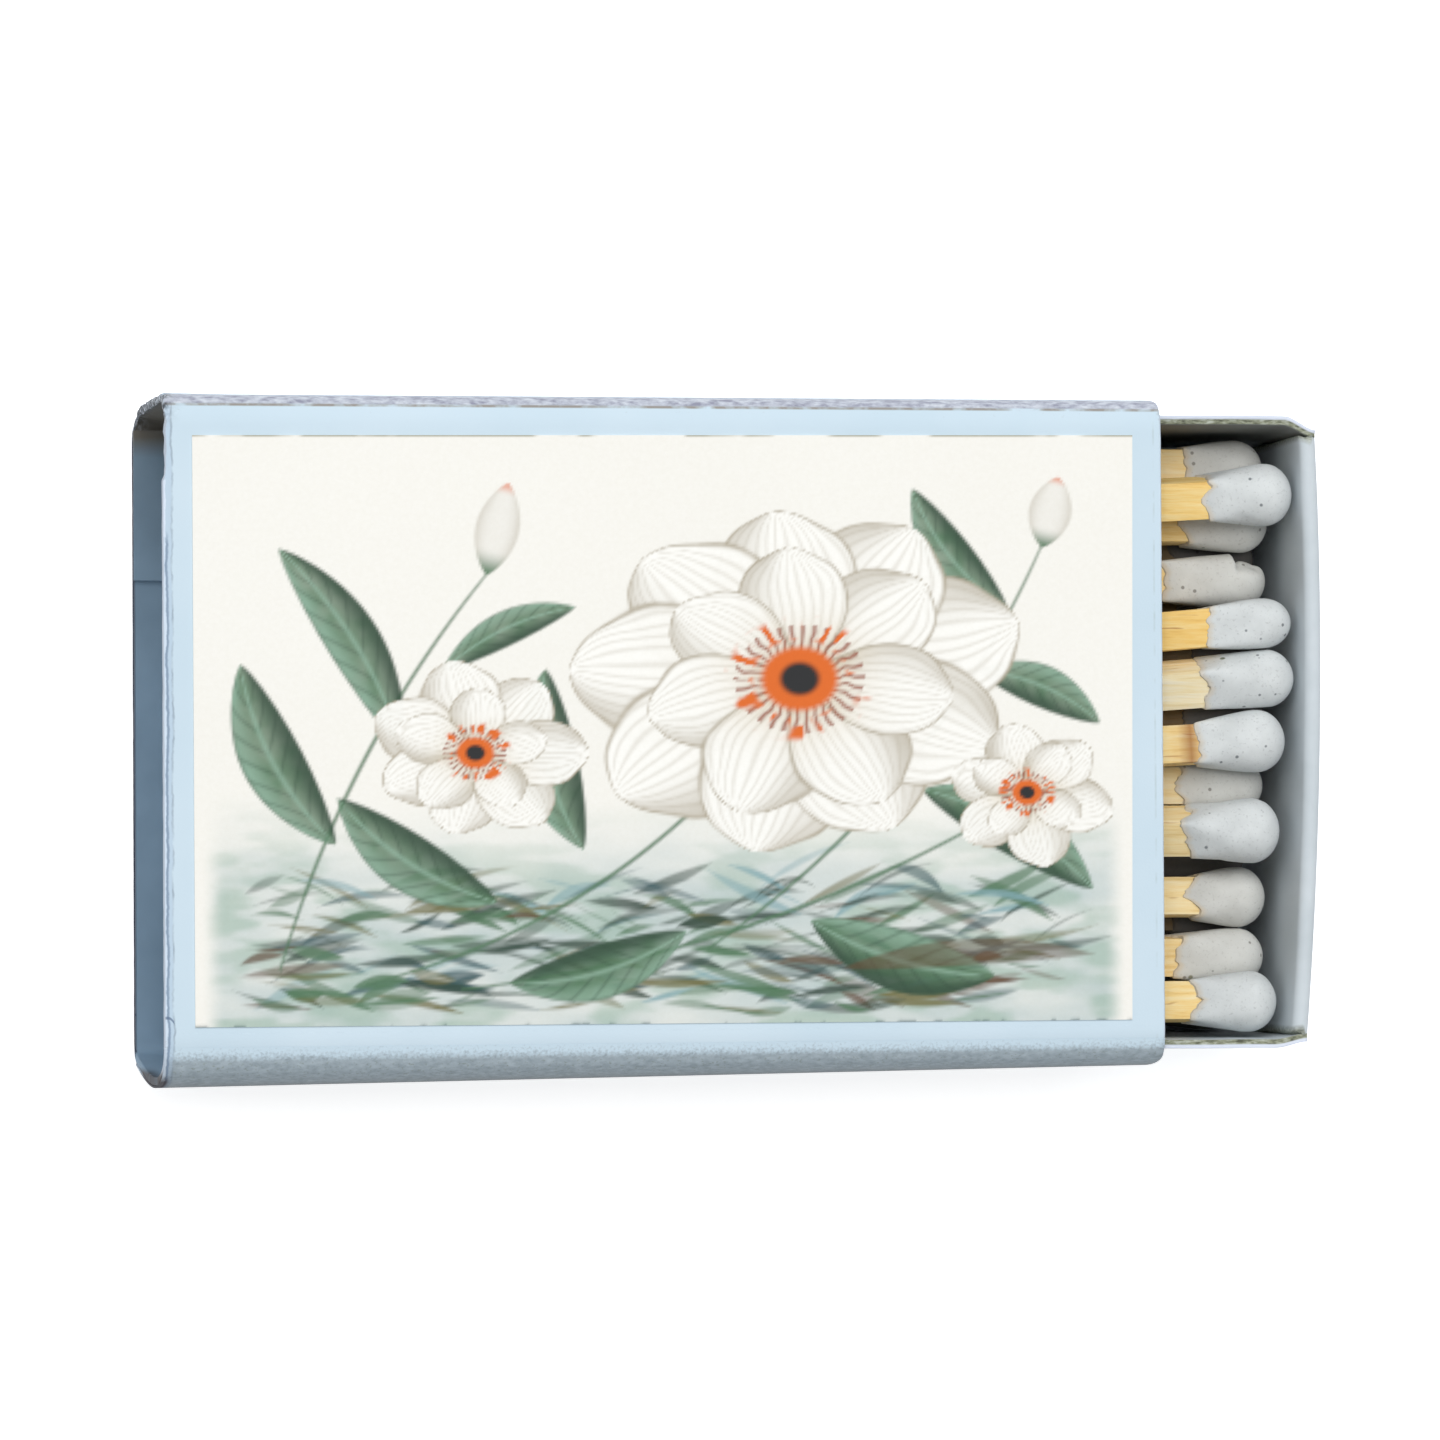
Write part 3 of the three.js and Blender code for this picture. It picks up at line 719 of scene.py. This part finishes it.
# places in mm from the label's middle. Stems: start, end, bend. Leaves: the same and half a width.
# Buds: start, end. Flowers: heart, reach, number of outer petals, seed
labelSpray = {
    "stems": (
        ((-20.5, -12.5), (-9.5, 8.2), 1.2), ((-16.0, -13.2), (6.5, 1.5), -2.4),
        ((-11.0, -13.5), (18.5, -4.0), -1.6), ((2.0, -11.5), (20.0, 9.6), -2.0)),
    "leaves": (
        ((-17.5, -6.0), (-22.5, 3.5), 0.9, 1.7), ((-14.0, -1.0), (-20.5, 9.5), -0.8, 1.5),
        ((-9.0, -9.0), (-17.5, -3.5), 0.8, 1.6), ((-4.5, -6.3), (-6.5, 3.2), 0.9, 1.7),
        ((1.0, -10.5), (-8.5, -13.2), 0.8, 1.5), ((7.5, -10.0), (17.5, -13.0), -0.7, 1.7),
        ((13.5, -3.2), (22.8, -8.5), 0.8, 1.6), ((16.5, 3.0), (23.2, 0.2), 0.6, 1.2),
        ((18.2, 6.2), (13.0, 12.6), 0.7, 1.3), ((-12.0, 3.0), (-4.8, 6.4), 0.6, 1.0)),
    "buds": (((-9.6, 8.0), (-8.4, 12.9)), ((20.0, 9.4), (20.9, 13.2))),
    "flowers": (((-10.2, -1.2), 5.6, 7, 3), ((7.0, 2.6), 11.6, 9, 1), ((19.2, -3.4), 4.6, 6, 6)),
    "stemWidth": 0.36, "budWidth": 1.25, "twig": ((9.0, -12.6), (23.0, -11.9), 0.5, 0.8),
}
# blades stand in the wash and lean both ways, and strokes lie over their feet
labelGrass = {
    "blades": 230, "bladeInks": ("leafDark", "leaf", "seaDark", "leafDark", "olive", "sea", "leaf", "brown"),
    "strokes": 90, "strokeInks": ("leafDark", "leaf", "seaDark", "leafDark", "olive", "brown"),
    "bank": (-2.5, -9.0), "brownFrom": (10, -10), "margin": 0.8,
}


def tone(name):
    return np.array(linear(labelArt[name]))


def lay(sheet, amount, colour):
    # one transparent layer of colour
    amount = np.clip(amount, 0, 1)[..., None]
    sheet += (colour - sheet) * amount


def stroke(x, y, start, end, bend, width, taper=1.0):
    # a brush stroke on a bent line: the share of paint at each point, and its place along and across
    start, end = np.array(start, float), np.array(end, float)
    way = end - start
    length = np.hypot(*way)
    way = way / length
    along = ((x - start[0]) * way[0] + (y - start[1]) * way[1]) / length
    across = -(x - start[0]) * way[1] + (y - start[1]) * way[0]
    t = np.clip(along, 0, 1)
    across = across - bend * 4 * t * (1 - t)
    half = width * (np.sin(np.pi * t) ** 0.7 * taper + (1 - taper) * 0.5)
    inside = smooth(0.0, 0.22, half - np.abs(across)) * (along > 0) * (along < 1)
    return inside, along, across / np.maximum(half, 0.02)


def paintLeaf(sheet, x, y, start, end, bend, width, seed):
    inside, along, side = stroke(x, y, start, end, bend, width)
    dark, middle, pale = tone("leafDark"), tone("leaf"), tone("leafPale")
    wash = layered(x * 0.9, y * 0.9, seed)
    lay(sheet, inside * (0.75 + 0.25 * wash), middle)
    lay(sheet, inside * smooth(0.1, 0.9, side) * 0.75 * (0.5 + wash), pale)
    lay(sheet, inside * smooth(0.0, -0.8, side) * 0.8, dark)
    veins = np.abs(np.sin(along * 26 - np.abs(side) * 5)) ** 14
    lay(sheet, inside * veins * 0.35, dark)
    lay(sheet, inside * np.exp(-(side / 0.09) ** 2) * 0.7, pale)
    lay(sheet, inside * smooth(0.78, 0.98, np.abs(side)) * 0.55, dark)


def paintPetal(sheet, x, y, heart, angle, length, width, seed):
    # a broad petal: an egg shape on the line from the heart, with fine veins and a shaded side
    dx, dy = x - heart[0], y - heart[1]
    along = (dx * math.cos(angle) + dy * math.sin(angle)) / length
    across = (-dx * math.sin(angle) + dy * math.cos(angle)) / width
    t = np.clip(along, 0, 1)
    half = np.sin(np.pi * t ** 1.35) ** 0.6 * (1 + 0.05 * np.sin(9 * across + seed) * t)
    edge = half - np.abs(across)
    inside = smooth(0, 0.05, edge) * (along > 0) * (along < 1)
    lay(sheet, inside * 0.96, tone("petal"))
    side = across / np.maximum(half, 0.1)
    veins = np.abs(np.sin(side * 17 + 2 * noise(along * 4, across * 3, seed))) ** 6
    lay(sheet, inside * veins * 0.26 * smooth(0.05, 0.4, t), tone("shade"))
    fold = smooth(0.1, 0.95, side)
    lay(sheet, inside * fold * (0.3 + 0.4 * noise(along * 3, across * 2, seed + 6)), tone("shade"))
    lay(sheet, inside * np.exp(-(t / 0.34) ** 2) * 0.7, tone("warm"))
    rim = np.exp(-((edge - 0.025) / 0.035) ** 2) * (along > 0) * (along < 1)
    lay(sheet, rim * (0.4 + 0.6 * layered(x, y, seed + 3)), tone("shade"))


def paintFlower(sheet, x, y, heart, reach, petals, seed):
    # two rings of petals on a slight ellipse, with a ring of stamens and a dark eye
    y = (y - heart[1]) / labelArt["squash"] + heart[1]
    for ring, count in ((1.0, petals), (0.74, petals - 2)):
        for k in range(count):
            angle = 2 * math.pi * (k + 0.5 * (ring < 1)) / count + 0.3 * seed
            size = reach * ring * (1 + 0.07 * math.sin(5 * k + seed))
            paintPetal(sheet, x, y, heart, angle, size, size * 0.36, seed + k)
    r = np.hypot(x - heart[0], y - heart[1])
    angle = np.arctan2(y - heart[1], x - heart[0])
    ray = np.abs(np.sin(angle * 15 + 2 * noise(r * 2, angle, seed))) ** 5
    lay(sheet, ray * (r > reach * 0.12) * (r < reach * 0.3) * 0.85, tone("heartDark"))
    pollen = smooth(0.55, 0.75, noise(angle * 9, r * 2.6 / reach * 4, seed + 1))
    pollen = pollen * smooth(reach * 0.2, reach * 0.24, r)
    lay(sheet, pollen * smooth(reach * 0.36, reach * 0.31, r), tone("heart"))
    lay(sheet, smooth(reach * 0.2, reach * 0.15, r), tone("heart"))
    lay(sheet, smooth(reach * 0.11, reach * 0.07, r), tone("ink"))


def paintGrass(sheet, x, y, halfLength, halfWidth):
    # a loose wash of blue-green behind the stems, and blades of grass standing in it
    g = labelGrass
    bank = smooth(*g["bank"], y + 1.2 * layered(x * 0.25, 0 * x, 51))
    bank = bank * smooth(0.3, 1.6, halfLength - np.abs(x))
    lay(sheet, bank * (0.15 + 0.5 * layered(x * 0.25, y * 0.7, 52)), tone("sea"))
    lay(sheet, bank * smooth(0.45, 0.7, layered(x * 0.3, y * 0.9, 53)) * 0.5, tone("leafPale"))
    for k in range(g["blades"]):
        draw = [hashed(k, n, 2) for n in range(10)]
        cx = -halfLength + 2 + (2 * halfLength - 4) * draw[1]
        cy = -halfWidth + 0.5 + 6.5 * draw[2] ** 1.2
        long, lean = 2.2 + 4.2 * draw[4], 1.25 + 0.45 * (draw[3] - 0.5)
        way = 1 if draw[8] > 0.5 else -1
        end = (cx + way * long * math.sin(lean), cy + long * math.cos(lean) * 0.9)
        if abs(end[0]) > halfLength - g["margin"]:
            continue
        bend, width = 0.7 * way * (draw[5] - 0.3), 0.16 + 0.26 * draw[9]
        inside, along, _ = stroke(x, y, (cx, cy), end, bend, width)
        brown = cx > g["brownFrom"][0] and cy < g["brownFrom"][1] and k % 3 == 0
        ink = g["bladeInks"][7 if brown else int(7 * draw[6])]
        lay(sheet, inside * (0.5 + 0.5 * draw[7]) * (1 - 0.35 * np.clip(along, 0, 1)), tone(ink))
    for k in range(g["strokes"]):
        draw = [hashed(k, n, 9) for n in range(9)]
        cx = -halfLength + 1.5 + (2 * halfLength - 8) * draw[1]
        cy = -halfWidth + 0.8 + 5.2 * draw[2]
        end = (cx + 2 + 4.5 * draw[3], cy + 1.4 * (draw[4] - 0.5))
        inside, _, _ = stroke(x, y, (cx, cy), end, 0.5 * (draw[5] - 0.5), 0.16 + 0.3 * draw[6])
        lay(sheet, inside * (0.35 + 0.6 * draw[8]), tone(g["strokeInks"][int(6 * draw[7])]))


def paintLabel(x, y, halfLength, halfWidth):
    sheet = np.ones((*x.shape, 3)) * tone("paper")
    lay(sheet, 0.25 * layered(x * 0.12, y * 0.12, 31), tone("petal"))
    paintGrass(sheet, x, y, halfLength, halfWidth)
    spray = labelSpray
    for start, end, bend in spray["stems"]:
        inside, _, side = stroke(x, y, start, end, bend, spray["stemWidth"], 0.15)
        lay(sheet, inside * 0.9, tone("leaf"))
        lay(sheet, inside * smooth(0, -1, side) * 0.8, tone("leafDark"))
    for k, leaf in enumerate(spray["leaves"]):
        paintLeaf(sheet, x, y, *leaf, 40 + k)
    for start, end in spray["buds"]:
        inside, along, side = stroke(x, y, start, end, 0.0, spray["budWidth"])
        lay(sheet, inside * 0.95, tone("petal"))
        lay(sheet, inside * (0.2 + 0.5 * np.abs(side) ** 3), tone("shade"))
        lay(sheet, inside * smooth(0.3, 0.0, along), tone("leaf"))
        lay(sheet, inside * smooth(0.85, 1.0, along) * 0.8, tone("heart"))
    lay(sheet, stroke(x, y, *spray["twig"])[0] * 0.55, tone("brown"))
    for flower in spray["flowers"]:
        paintFlower(sheet, x, y, *flower)
    # the print's border: a hair of colour where its top and bottom edges were cut
    border = smooth(0.14, 0.02, halfWidth - y) * smooth(0.42, 0.6, layered(x * 0.4, y * 0, 77))
    lay(sheet, border * 0.8, tone("olive"))
    dotted = smooth(0.16, 0.04, halfWidth + y) * smooth(0.6, 0.72, layered(x * 1.6, y * 0, 78))
    lay(sheet, dotted * 0.6, tone("seaDark"))
    return sheet


def makeLabel():
    low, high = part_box("label")
    halfLength, halfWidth = (high.x - low.x) / 2 / mm, (high.y - low.y) / 2 / mm
    columns = int(2 * halfWidth / labelArt["step"]) + 1
    rows = int(2 * halfLength / labelArt["step"]) + 1
    x, y = np.meshgrid(np.linspace(-halfLength, halfLength, rows),
                       np.linspace(-halfWidth, halfWidth, columns), indexing="ij")
    flat = np.full_like(x, high.z / mm - labelArt["belowTop"])
    colours = paintLabel(x, y, halfLength, halfWidth)
    # the sheet isn't cut square: its corners' places, blended over the sheet
    u, v = x / halfLength / 2 + 0.5, y / halfWidth / 2 + 0.5
    (lx, ly), (rx, ry), (bx, by) = labelArt["corners"]
    shiftX = v * (1 - u) * lx + v * u * rx + (1 - v) * u * bx
    shiftY = v * (1 - u) * ly + v * u * ry + (1 - v) * u * by
    points = np.stack([x + shiftX, y + shiftY, flat], -1).reshape(-1, 3)
    # the sheet's cut edges: the outline again, one paper's thickness lower, and a plain back
    outline = ([(i, 0) for i in range(rows - 1)] + [(rows - 1, j) for j in range(columns - 1)]
               + [(i, columns - 1) for i in range(rows - 1, 0, -1)]
               + [(0, j) for j in range(columns - 1, 0, -1)])
    upper = np.array([i * columns + j for i, j in outline])
    under = points[upper] * [1, 1, 0] + [0, 0, low.z / mm]
    count = len(upper)
    lower = len(points) + np.arange(count)
    sides = np.stack([upper, lower, np.roll(lower, -1), np.roll(upper, -1)], -1).tolist()
    faces = gridFaces(rows, columns) + sides + [tuple(lower[::-1].tolist())]
    points = np.vstack([points, under])
    colours = np.vstack([colours.reshape(-1, 3), np.ones((count, 3)) * tone("paper")])
    piece = faceOut(newMesh("labelSheet", points, faces, labelPaper, False))
    addColours(piece, "ink", colours)
    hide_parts("label")
    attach(piece, "sleeve")


makeLabel()
print("stage: label")


# Tray

trayShape = {
    "card": 0.45, "footHalf": 16.375, "middle": -0.225,  # mm, as the solid
    "endBow": 0.515, "skew": 0.021, "slit": 0.25, "fold": 0.5, "length": 52.6, "tuck": 0.08,
    # how the walls flare and the drawn corners lean in
    "flare": 0.08, "backFlare": 0.2, "backPinch": 0.68, "frontPinch": 0.3, "pinchLength": 1.8,
    "ragged": 0.16, "wave": 0.1, "plyWave": 0.05,
    "stations": 260, "wallStations": 24, "foldStations": 8, "floorStations": 9,
    "endStations": 90, "plyStations": 20, "rimStations": 14,
}
# painted shade on the inside of the back wall below its rim: share, and heights
trayBackShade = {"share": 0.75, "from": (2, 5), "belowRim": 0.02, "inside": (0.3, 0.4)}


def pinch(x, y, share):
    # leans the long walls in near the drawn end's corners, more towards the rim
    t = trayShape
    amount = np.where(y > 0, t["backPinch"], t["frontPinch"])
    near = smooth(t["length"] / 2 - t["pinchLength"], t["length"] / 2, x)
    return y * (1 - amount / t["footHalf"] * near * share * (y / t["footHalf"]) ** 2)


def slant(x, y):
    # the drawn end stands at a slant across the box; the other end is square
    return x + trayShape["skew"] * y * (x / trayShape["length"] + 0.5)


def wallSection(offset, rimHalf, height):
    # half widths from the middle of the floor round the fold to the rim, offset inwards by the card
    t = trayShape
    radius = t["fold"] - offset
    angle = np.linspace(0, math.pi / 2, t["foldStations"])
    foldY = t["footHalf"] - t["fold"] + radius * np.sin(angle)
    foldZ = t["fold"] - radius * np.cos(angle)
    up = np.linspace(t["fold"], height, t["wallStations"])[1:]
    wallY = t["footHalf"] - offset + (rimHalf - t["footHalf"]) * up / height
    floorY = np.linspace(0, t["footHalf"] - t["fold"], t["floorStations"] + 1)[:-1]
    floorZ = np.full(t["floorStations"], offset)
    return np.concatenate([floorY, foldY, wallY]), np.concatenate([floorZ, foldZ, up])


def makeChannel(rimHalf, height, drawn, floor):
    # floor and long walls: one bent strip of card with raw, slightly ragged top edges
    t = trayShape
    card = t["card"]
    outerY, outerZ = wallSection(0, rimHalf, height)
    innerY, innerZ = wallSection(card, rimHalf, height)
    edgeY = rimHalf - np.array([0.04, 0.1, 0.15, card / 2, card - 0.05])
    edgeZ = np.full(len(edgeY), height)
    halfY = np.concatenate([outerY, edgeY, innerY[::-1]])
    halfZ = np.concatenate([outerZ, edgeZ, np.maximum(innerZ, card)[::-1]])
    # the other half mirrors it, without the two middle points, which both halves would hold
    loopY = np.concatenate([halfY, -halfY[-2:0:-1]])
    loopZ = np.concatenate([halfZ, halfZ[-2:0:-1]])
    half = t["length"] / 2 - t["tuck"]
    x, y = np.meshgrid(np.linspace(-half, half, t["stations"]), loopY, indexing="ij")
    z = loopZ * np.ones_like(x)
    away = np.abs(y)
    raw = smooth(height - 0.1, height - 0.02, z) * smooth(rimHalf - 0.16, rimHalf - 0.22, away)
    liner = smooth(height - 0.3, height - 0.1, z) * smooth(rimHalf - 0.2, rimHalf - 0.16, away)
    wall = t["footHalf"] + (rimHalf - t["footHalf"]) * z / height
    # painted shade on the inside of the back wall, below its rim
    rubbed = smooth(*trayBackShade["inside"], wall - away) * (y > 0) * (z < height - trayBackShade["belowRim"])
    rubbed = rubbed * smooth(*trayBackShade["from"], z) * trayBackShade["share"]
    z = z - t["ragged"] * layered(x * 2.6, np.sign(y) * 4 + np.abs(y) * 1.5, 12) * raw
    wave = t["wave"] * (layered(x * 0.22, np.sign(y) * 3, 15) - 0.5) * smooth(height * 0.4, height, z)
    y = y + t["backFlare"] * (y > 0) * z / height
    y = pinch(x, y - np.sign(y) * np.abs(wave), z / height)
    channel = makeTube("trayChannel", slant(x, y) + drawn, y + t["middle"], z + floor, trayCard)
    addValues(channel, raw=raw, liner=liner, rubbed=rubbed)
    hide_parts("tray")
    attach(channel, "tray")


def makeTrayEnd(name, way, rimHalf, height, drawn, floor):
    # an end wall: card folded over on itself, so that its rim is round and it is two plies thick
    t = trayShape
    card = t["card"]
    turn = np.linspace(0, math.pi, t["rimStations"])[1:-1]
    ply = np.zeros(t["plyStations"])
    across = np.concatenate([ply, card - card * np.cos(turn), ply + 2 * card])
    climb = np.linspace(t["tuck"], height - card, t["plyStations"])
    up = np.concatenate([climb, height - card + card * np.sin(turn), climb[::-1]])
    v, u = np.meshgrid(np.linspace(-1, 1, t["endStations"]), np.arange(len(across)), indexing="ij")
    z = up[u]
    wall = t["footHalf"] + (rimHalf - t["footHalf"] + t["backFlare"] * (v > 0)) * z / height
    # the outer ply reaches the corner; the folded-over ply stops short and leaves a slit
    inset = (card + t["slit"]) * smooth(0.05, card * 0.8, across[u])
    y = v * (wall - np.where(across[u] < 0.05, t["tuck"], inset))
    bow = t["endBow"] * (1 - (y / t["footHalf"]) ** 2) * z / height
    wavy = t["plyWave"] * (layered(y * 0.3, z * 0.2, 21) - 0.5)
    x = way * (t["length"] / 2 + bow - across[u] + wavy * (across[u] > card))
    y = pinch(x, y, z / height)
    end = makeTube(name, slant(x, y) + drawn, y + t["middle"], z + floor, trayCard)
    addValues(end, raw=(np.abs(v) > 0.999) * 0.8, liner=0, rubbed=0)
    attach(end, "tray")


def makeTray():
    low, high = (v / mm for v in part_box("tray"))
    size = ((high.y - low.y) / 2 + trayShape["flare"], high.z - low.z, (high.x + low.x) / 2, low.z)
    makeChannel(*size)
    makeTrayEnd("trayEndDrawn", 1, *size)
    makeTrayEnd("trayEndBack", -1, *size)


makeTray()
print("stage: tray")


# Matches

matchShape = {
    "splint": 2.1, "headLength": 5.0, "dome": 1.5, "splintStart": 2.5, "cover": 0.05,  # mm, as the solids
    "aroundSeen": 80, "alongSeen": 110, "aroundHidden": 28, "alongHidden": 26,
    "sideSeen": 6, "sideHidden": 3, "splintSeen": 60, "splintHidden": 14,
    "rough": 0.045, "rounding": 0.035, "brokenTail": 0.12,
    "shorter": 0.4, "tongue": 1.3, "teeth": 0.6, "lump": 0.06, "grain": 0.012,  # the dried paste
    "warmShadeBelow": 10, "warmShadeShare": 0.18,  # painted warm shade on the paste of the lower matches
    "dim": 0.85,  # painted shade on the matches that no light reaches
}
# how much further than usual the paste runs up a splint, in mm, and how golden its wood is
headCover = {20: 0.0, 21: 0.3, 22: 1.3, 25: 0.4, 26: -0.3, 27: 0.5, 28: 0.1, 29: 0.0, 30: 0.5, 31: 0.3,
             32: 0.7, 33: 0.1}
woodWarmth = {20: 0.55, 21: 0.75, 22: 0.6, 25: 0.35, 26: 0.45, 27: 0.5, 28: 0.9, 29: 1.0, 30: 0.0, 31: 0.7,
              32: 0.4, 33: 0.75}
chippedHead, bruisedSplint = 22, 31


def nodePoints(name):
    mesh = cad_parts[name].data
    points = np.empty(len(mesh.vertices) * 3)
    mesh.vertices.foreach_get("co", points)
    return np.unique(np.round(points.reshape(-1, 3) / mm, 4), axis=0)


def matchFrame(woodNode, headNode):
    # the tail's four corners give the match's place and turn, and the tip is the head's furthest point
    wood, head = nodePoints(woodNode), nodePoints(headNode)
    corners = wood[np.argsort(wood[:, 0])[:4]]
    tail = corners.mean(0)
    tip = head[head[:, 0].argmax()]
    for _ in range(3):
        along = (tip - tail) / np.linalg.norm(tip - tail)
        reach = (head - tail) @ along
        tip = head[reach > reach.max() - 0.02].mean(0)
    along = (tip - tail) / np.linalg.norm(tip - tail)
    flat = corners - tail
    flat = flat - np.outer(flat @ along, along)
    diagonal = flat[0] / np.linalg.norm(flat[0])
    other = np.cross(along, diagonal)
    side, up = (diagonal + other) / math.sqrt(2), (other - diagonal) / math.sqrt(2)
    wide = np.abs((head - tip) @ side).max()
    return tip, along, side, up, np.linalg.norm(tip - tail), wide


def makeSplint(name, tip, along, side, up, length, seed, fine):
    # a square bar whose faces wander a little, broken off square at the tail
    m = matchShape
    half = m["splint"] / 2
    per = m["sideSeen"] if fine else m["sideHidden"]
    turn, full = np.linspace(-1, 1, per, endpoint=False), np.ones(per)
    ring = np.concatenate([np.stack([turn, -full], -1), np.stack([full, turn], -1),
                           np.stack([-turn, full], -1), np.stack([-full, -turn], -1)]) * half
    soft = 1 - m["rounding"] * (np.abs(ring[:, 0] * ring[:, 1]) / half ** 2) ** 8
    ring = ring * soft[:, None]
    stations = np.linspace(m["splintStart"], length, m["splintSeen"] if fine else m["splintHidden"])
    s, k = np.meshgrid(stations, np.arange(len(ring)), indexing="ij")
    rough = m["rough"] * (layered(s * 0.35, k * 0.8, seed) - 0.5) * smooth(length + 0.1, length - 1, s)
    a, b = ring[k, 0] * (1 - rough - 0.012), ring[k, 1] * (1 - rough - 0.012)
    ragged = m["brokenTail"] * layered(k * 0.9, s * 0, seed + 4) * (s >= length - 0.01)
    points = tip - (s - ragged)[..., None] * along + a[..., None] * side + b[..., None] * up
    piece = makeTube(name, *np.moveaxis(points, -1, 0), splintWood, False)
    bruise = np.exp(-((s - 5.3) / 0.5) ** 2) * smooth(0, half, a) * (seed == bruisedSplint)
    # painted shade darkens the splints of the matches that no light reaches
    addValues(piece, end=smooth(length - 0.1, length, s), bruise=bruise * 0.8,
              warmth=woodWarmth.get(seed, 0.3 + 0.6 * hashed(seed, 3, 1)),
              dim=0 if seed in headCover else m["dim"])
    return piece


def makeHead(name, tip, along, side, up, wide, seed, fine):
    # a surface of revolution, squared where it runs out on the splint, with a ragged lower edge
    m = matchShape
    around = m["aroundSeen"] if fine else m["aroundHidden"]
    rows = m["alongSeen"] if fine else m["alongHidden"]
    t = np.linspace(0, 1, rows)
    q = t - 0.115 * np.sin(2 * math.pi * t)
    q, angle = np.meshgrid(q, np.arange(around) / around * 2 * math.pi, indexing="ij")
    c, w = np.cos(angle), np.sin(angle)
    # the lower edge: long tongues down the faces, with fine teeth on them
    tongue = m["tongue"] * (layered(c * 1.3 + seed, w * 1.3, seed, 2) - 0.5)
    teeth = np.abs(layered(c * 3.6, w * 3.6 + seed, seed + 5, 2) - 0.5)
    mean = m["headLength"] - m["shorter"] + headCover.get(seed, 0.3 * math.sin(seed * 2.7))
    length = mean + tongue - m["teeth"] * teeth
    s = q * length
    # the radius: a dome at the tip, narrowing to the splint, and closing down on it at the edge
    neck = m["splint"] / 2 + m["cover"]
    radius = wide * np.sqrt(np.clip(1 - (1 - np.minimum(s / m["dome"], 1)) ** 2, 0, 1))
    run = mean + 0.15 * (length - mean)
    narrowing = np.clip((s - m["dome"] * 1.1) / (run - m["dome"] * 1.1), 0, 1)
    radius = radius + (neck - wide) * narrowing ** 1.35
    close = smooth(length - 0.09, length, s)
    radius = radius - close * 0.12
    # the section: a circle at the tip and nearly a square at the edge, by the power of its sides
    reach = m["splint"] / 2 * math.sqrt(2) + m["cover"] - 0.14 * close
    squared = smooth(m["dome"] * 0.7, m["dome"] * 1.65, s)
    power = 1 / (0.5 - np.log2(np.clip(reach / np.maximum(radius, 0.1), 1, 1.38)))
    power = 2 + (power - 2) * squared
    stretch = (np.abs(c) ** power + np.abs(w) ** power) ** (-1 / power)
    lump = layered(c * 1.5 + seed, w * 1.5 + s * 0.6, seed + 2) - 0.5
    grain = layered(c * 6 + seed, w * 6 + s * 3, seed + 3, 2) - 0.5
    spread = smooth(0.1, 0.8, s) * (1 - close) * (1 - 0.6 * narrowing)
    uneven = 1 + (m["lump"] * lump + m["grain"] * grain) * spread
    r = np.minimum(radius * uneven, wide) * stretch
    if seed == chippedHead:
        toBack = side[1] * c + up[1] * w
        notch = 0.4 + 0.2 * np.exp(-((s - 1.75) / 0.2) ** 2)
        foot = smooth(2.0, 1.7, s + 0.2 * noise(w * 3, c * 3, 4))
        r = r - notch * smooth(0.15, 0.8, toBack) * foot * smooth(0, 0.8, s)
    points = tip - s[..., None] * along + (r * c)[..., None] * side + (r * w)[..., None] * up
    # the first ring is the tip itself, and the paste closes over the wood inside the last one
    points = np.vstack([tip, points[1:].reshape(-1, 3), tip - (m["headLength"] - 1.2) * along])
    rows -= 1
    ring, following = np.arange(around).tolist(), np.roll(np.arange(around), -1).tolist()
    last, end = 1 + (rows - 1) * around, 1 + rows * around
    faces = [[f + 1 for f in face] for face in gridFaces(rows, around, False, True)]
    faces += [(0, 1 + i, 1 + j) for i, j in zip(ring, following)]
    faces += [(end, last + j, last + i) for i, j in zip(ring, following)]
    piece = newMesh(name, points, faces, headPaste)
    # painted warm shade: the paste of the matches below this height is tinted warm
    warmShade = m["warmShadeShare"] * (tip[2] < m["warmShadeBelow"])
    film = warmShade + smooth(0.5, 0.05, (length - s)[1:]) * 0.45
    addValues(piece, film=np.concatenate([[warmShade], film.ravel(), [warmShade]]),
              dim=0 if seed in headCover else m["dim"])
    return faceOut(piece)


def makeMatches():
    names = sorted(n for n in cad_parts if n.startswith("match_"))
    for number in sorted({n.split("_")[1] for n in names}):
        fine = f"match_{number}_head" in names
        wood = f"match_{number}_splint" if fine else f"match_{number}"
        head = f"match_{number}_head" if fine else wood
        tip, along, side, up, length, wide = matchFrame(wood, head)
        seed = int(number)
        splint = makeSplint(f"splint{number}", tip, along, side, up, length, seed, fine)
        paste = makeHead(f"head{number}", tip, along, side, up, wide, seed, fine)
        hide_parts(wood)
        if fine:
            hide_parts(head)
        for piece in (splint, paste):
            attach(piece, "tray")


makeMatches()
print("stage: matches")

bpy.context.scene.view_settings.view_transform = "Standard"
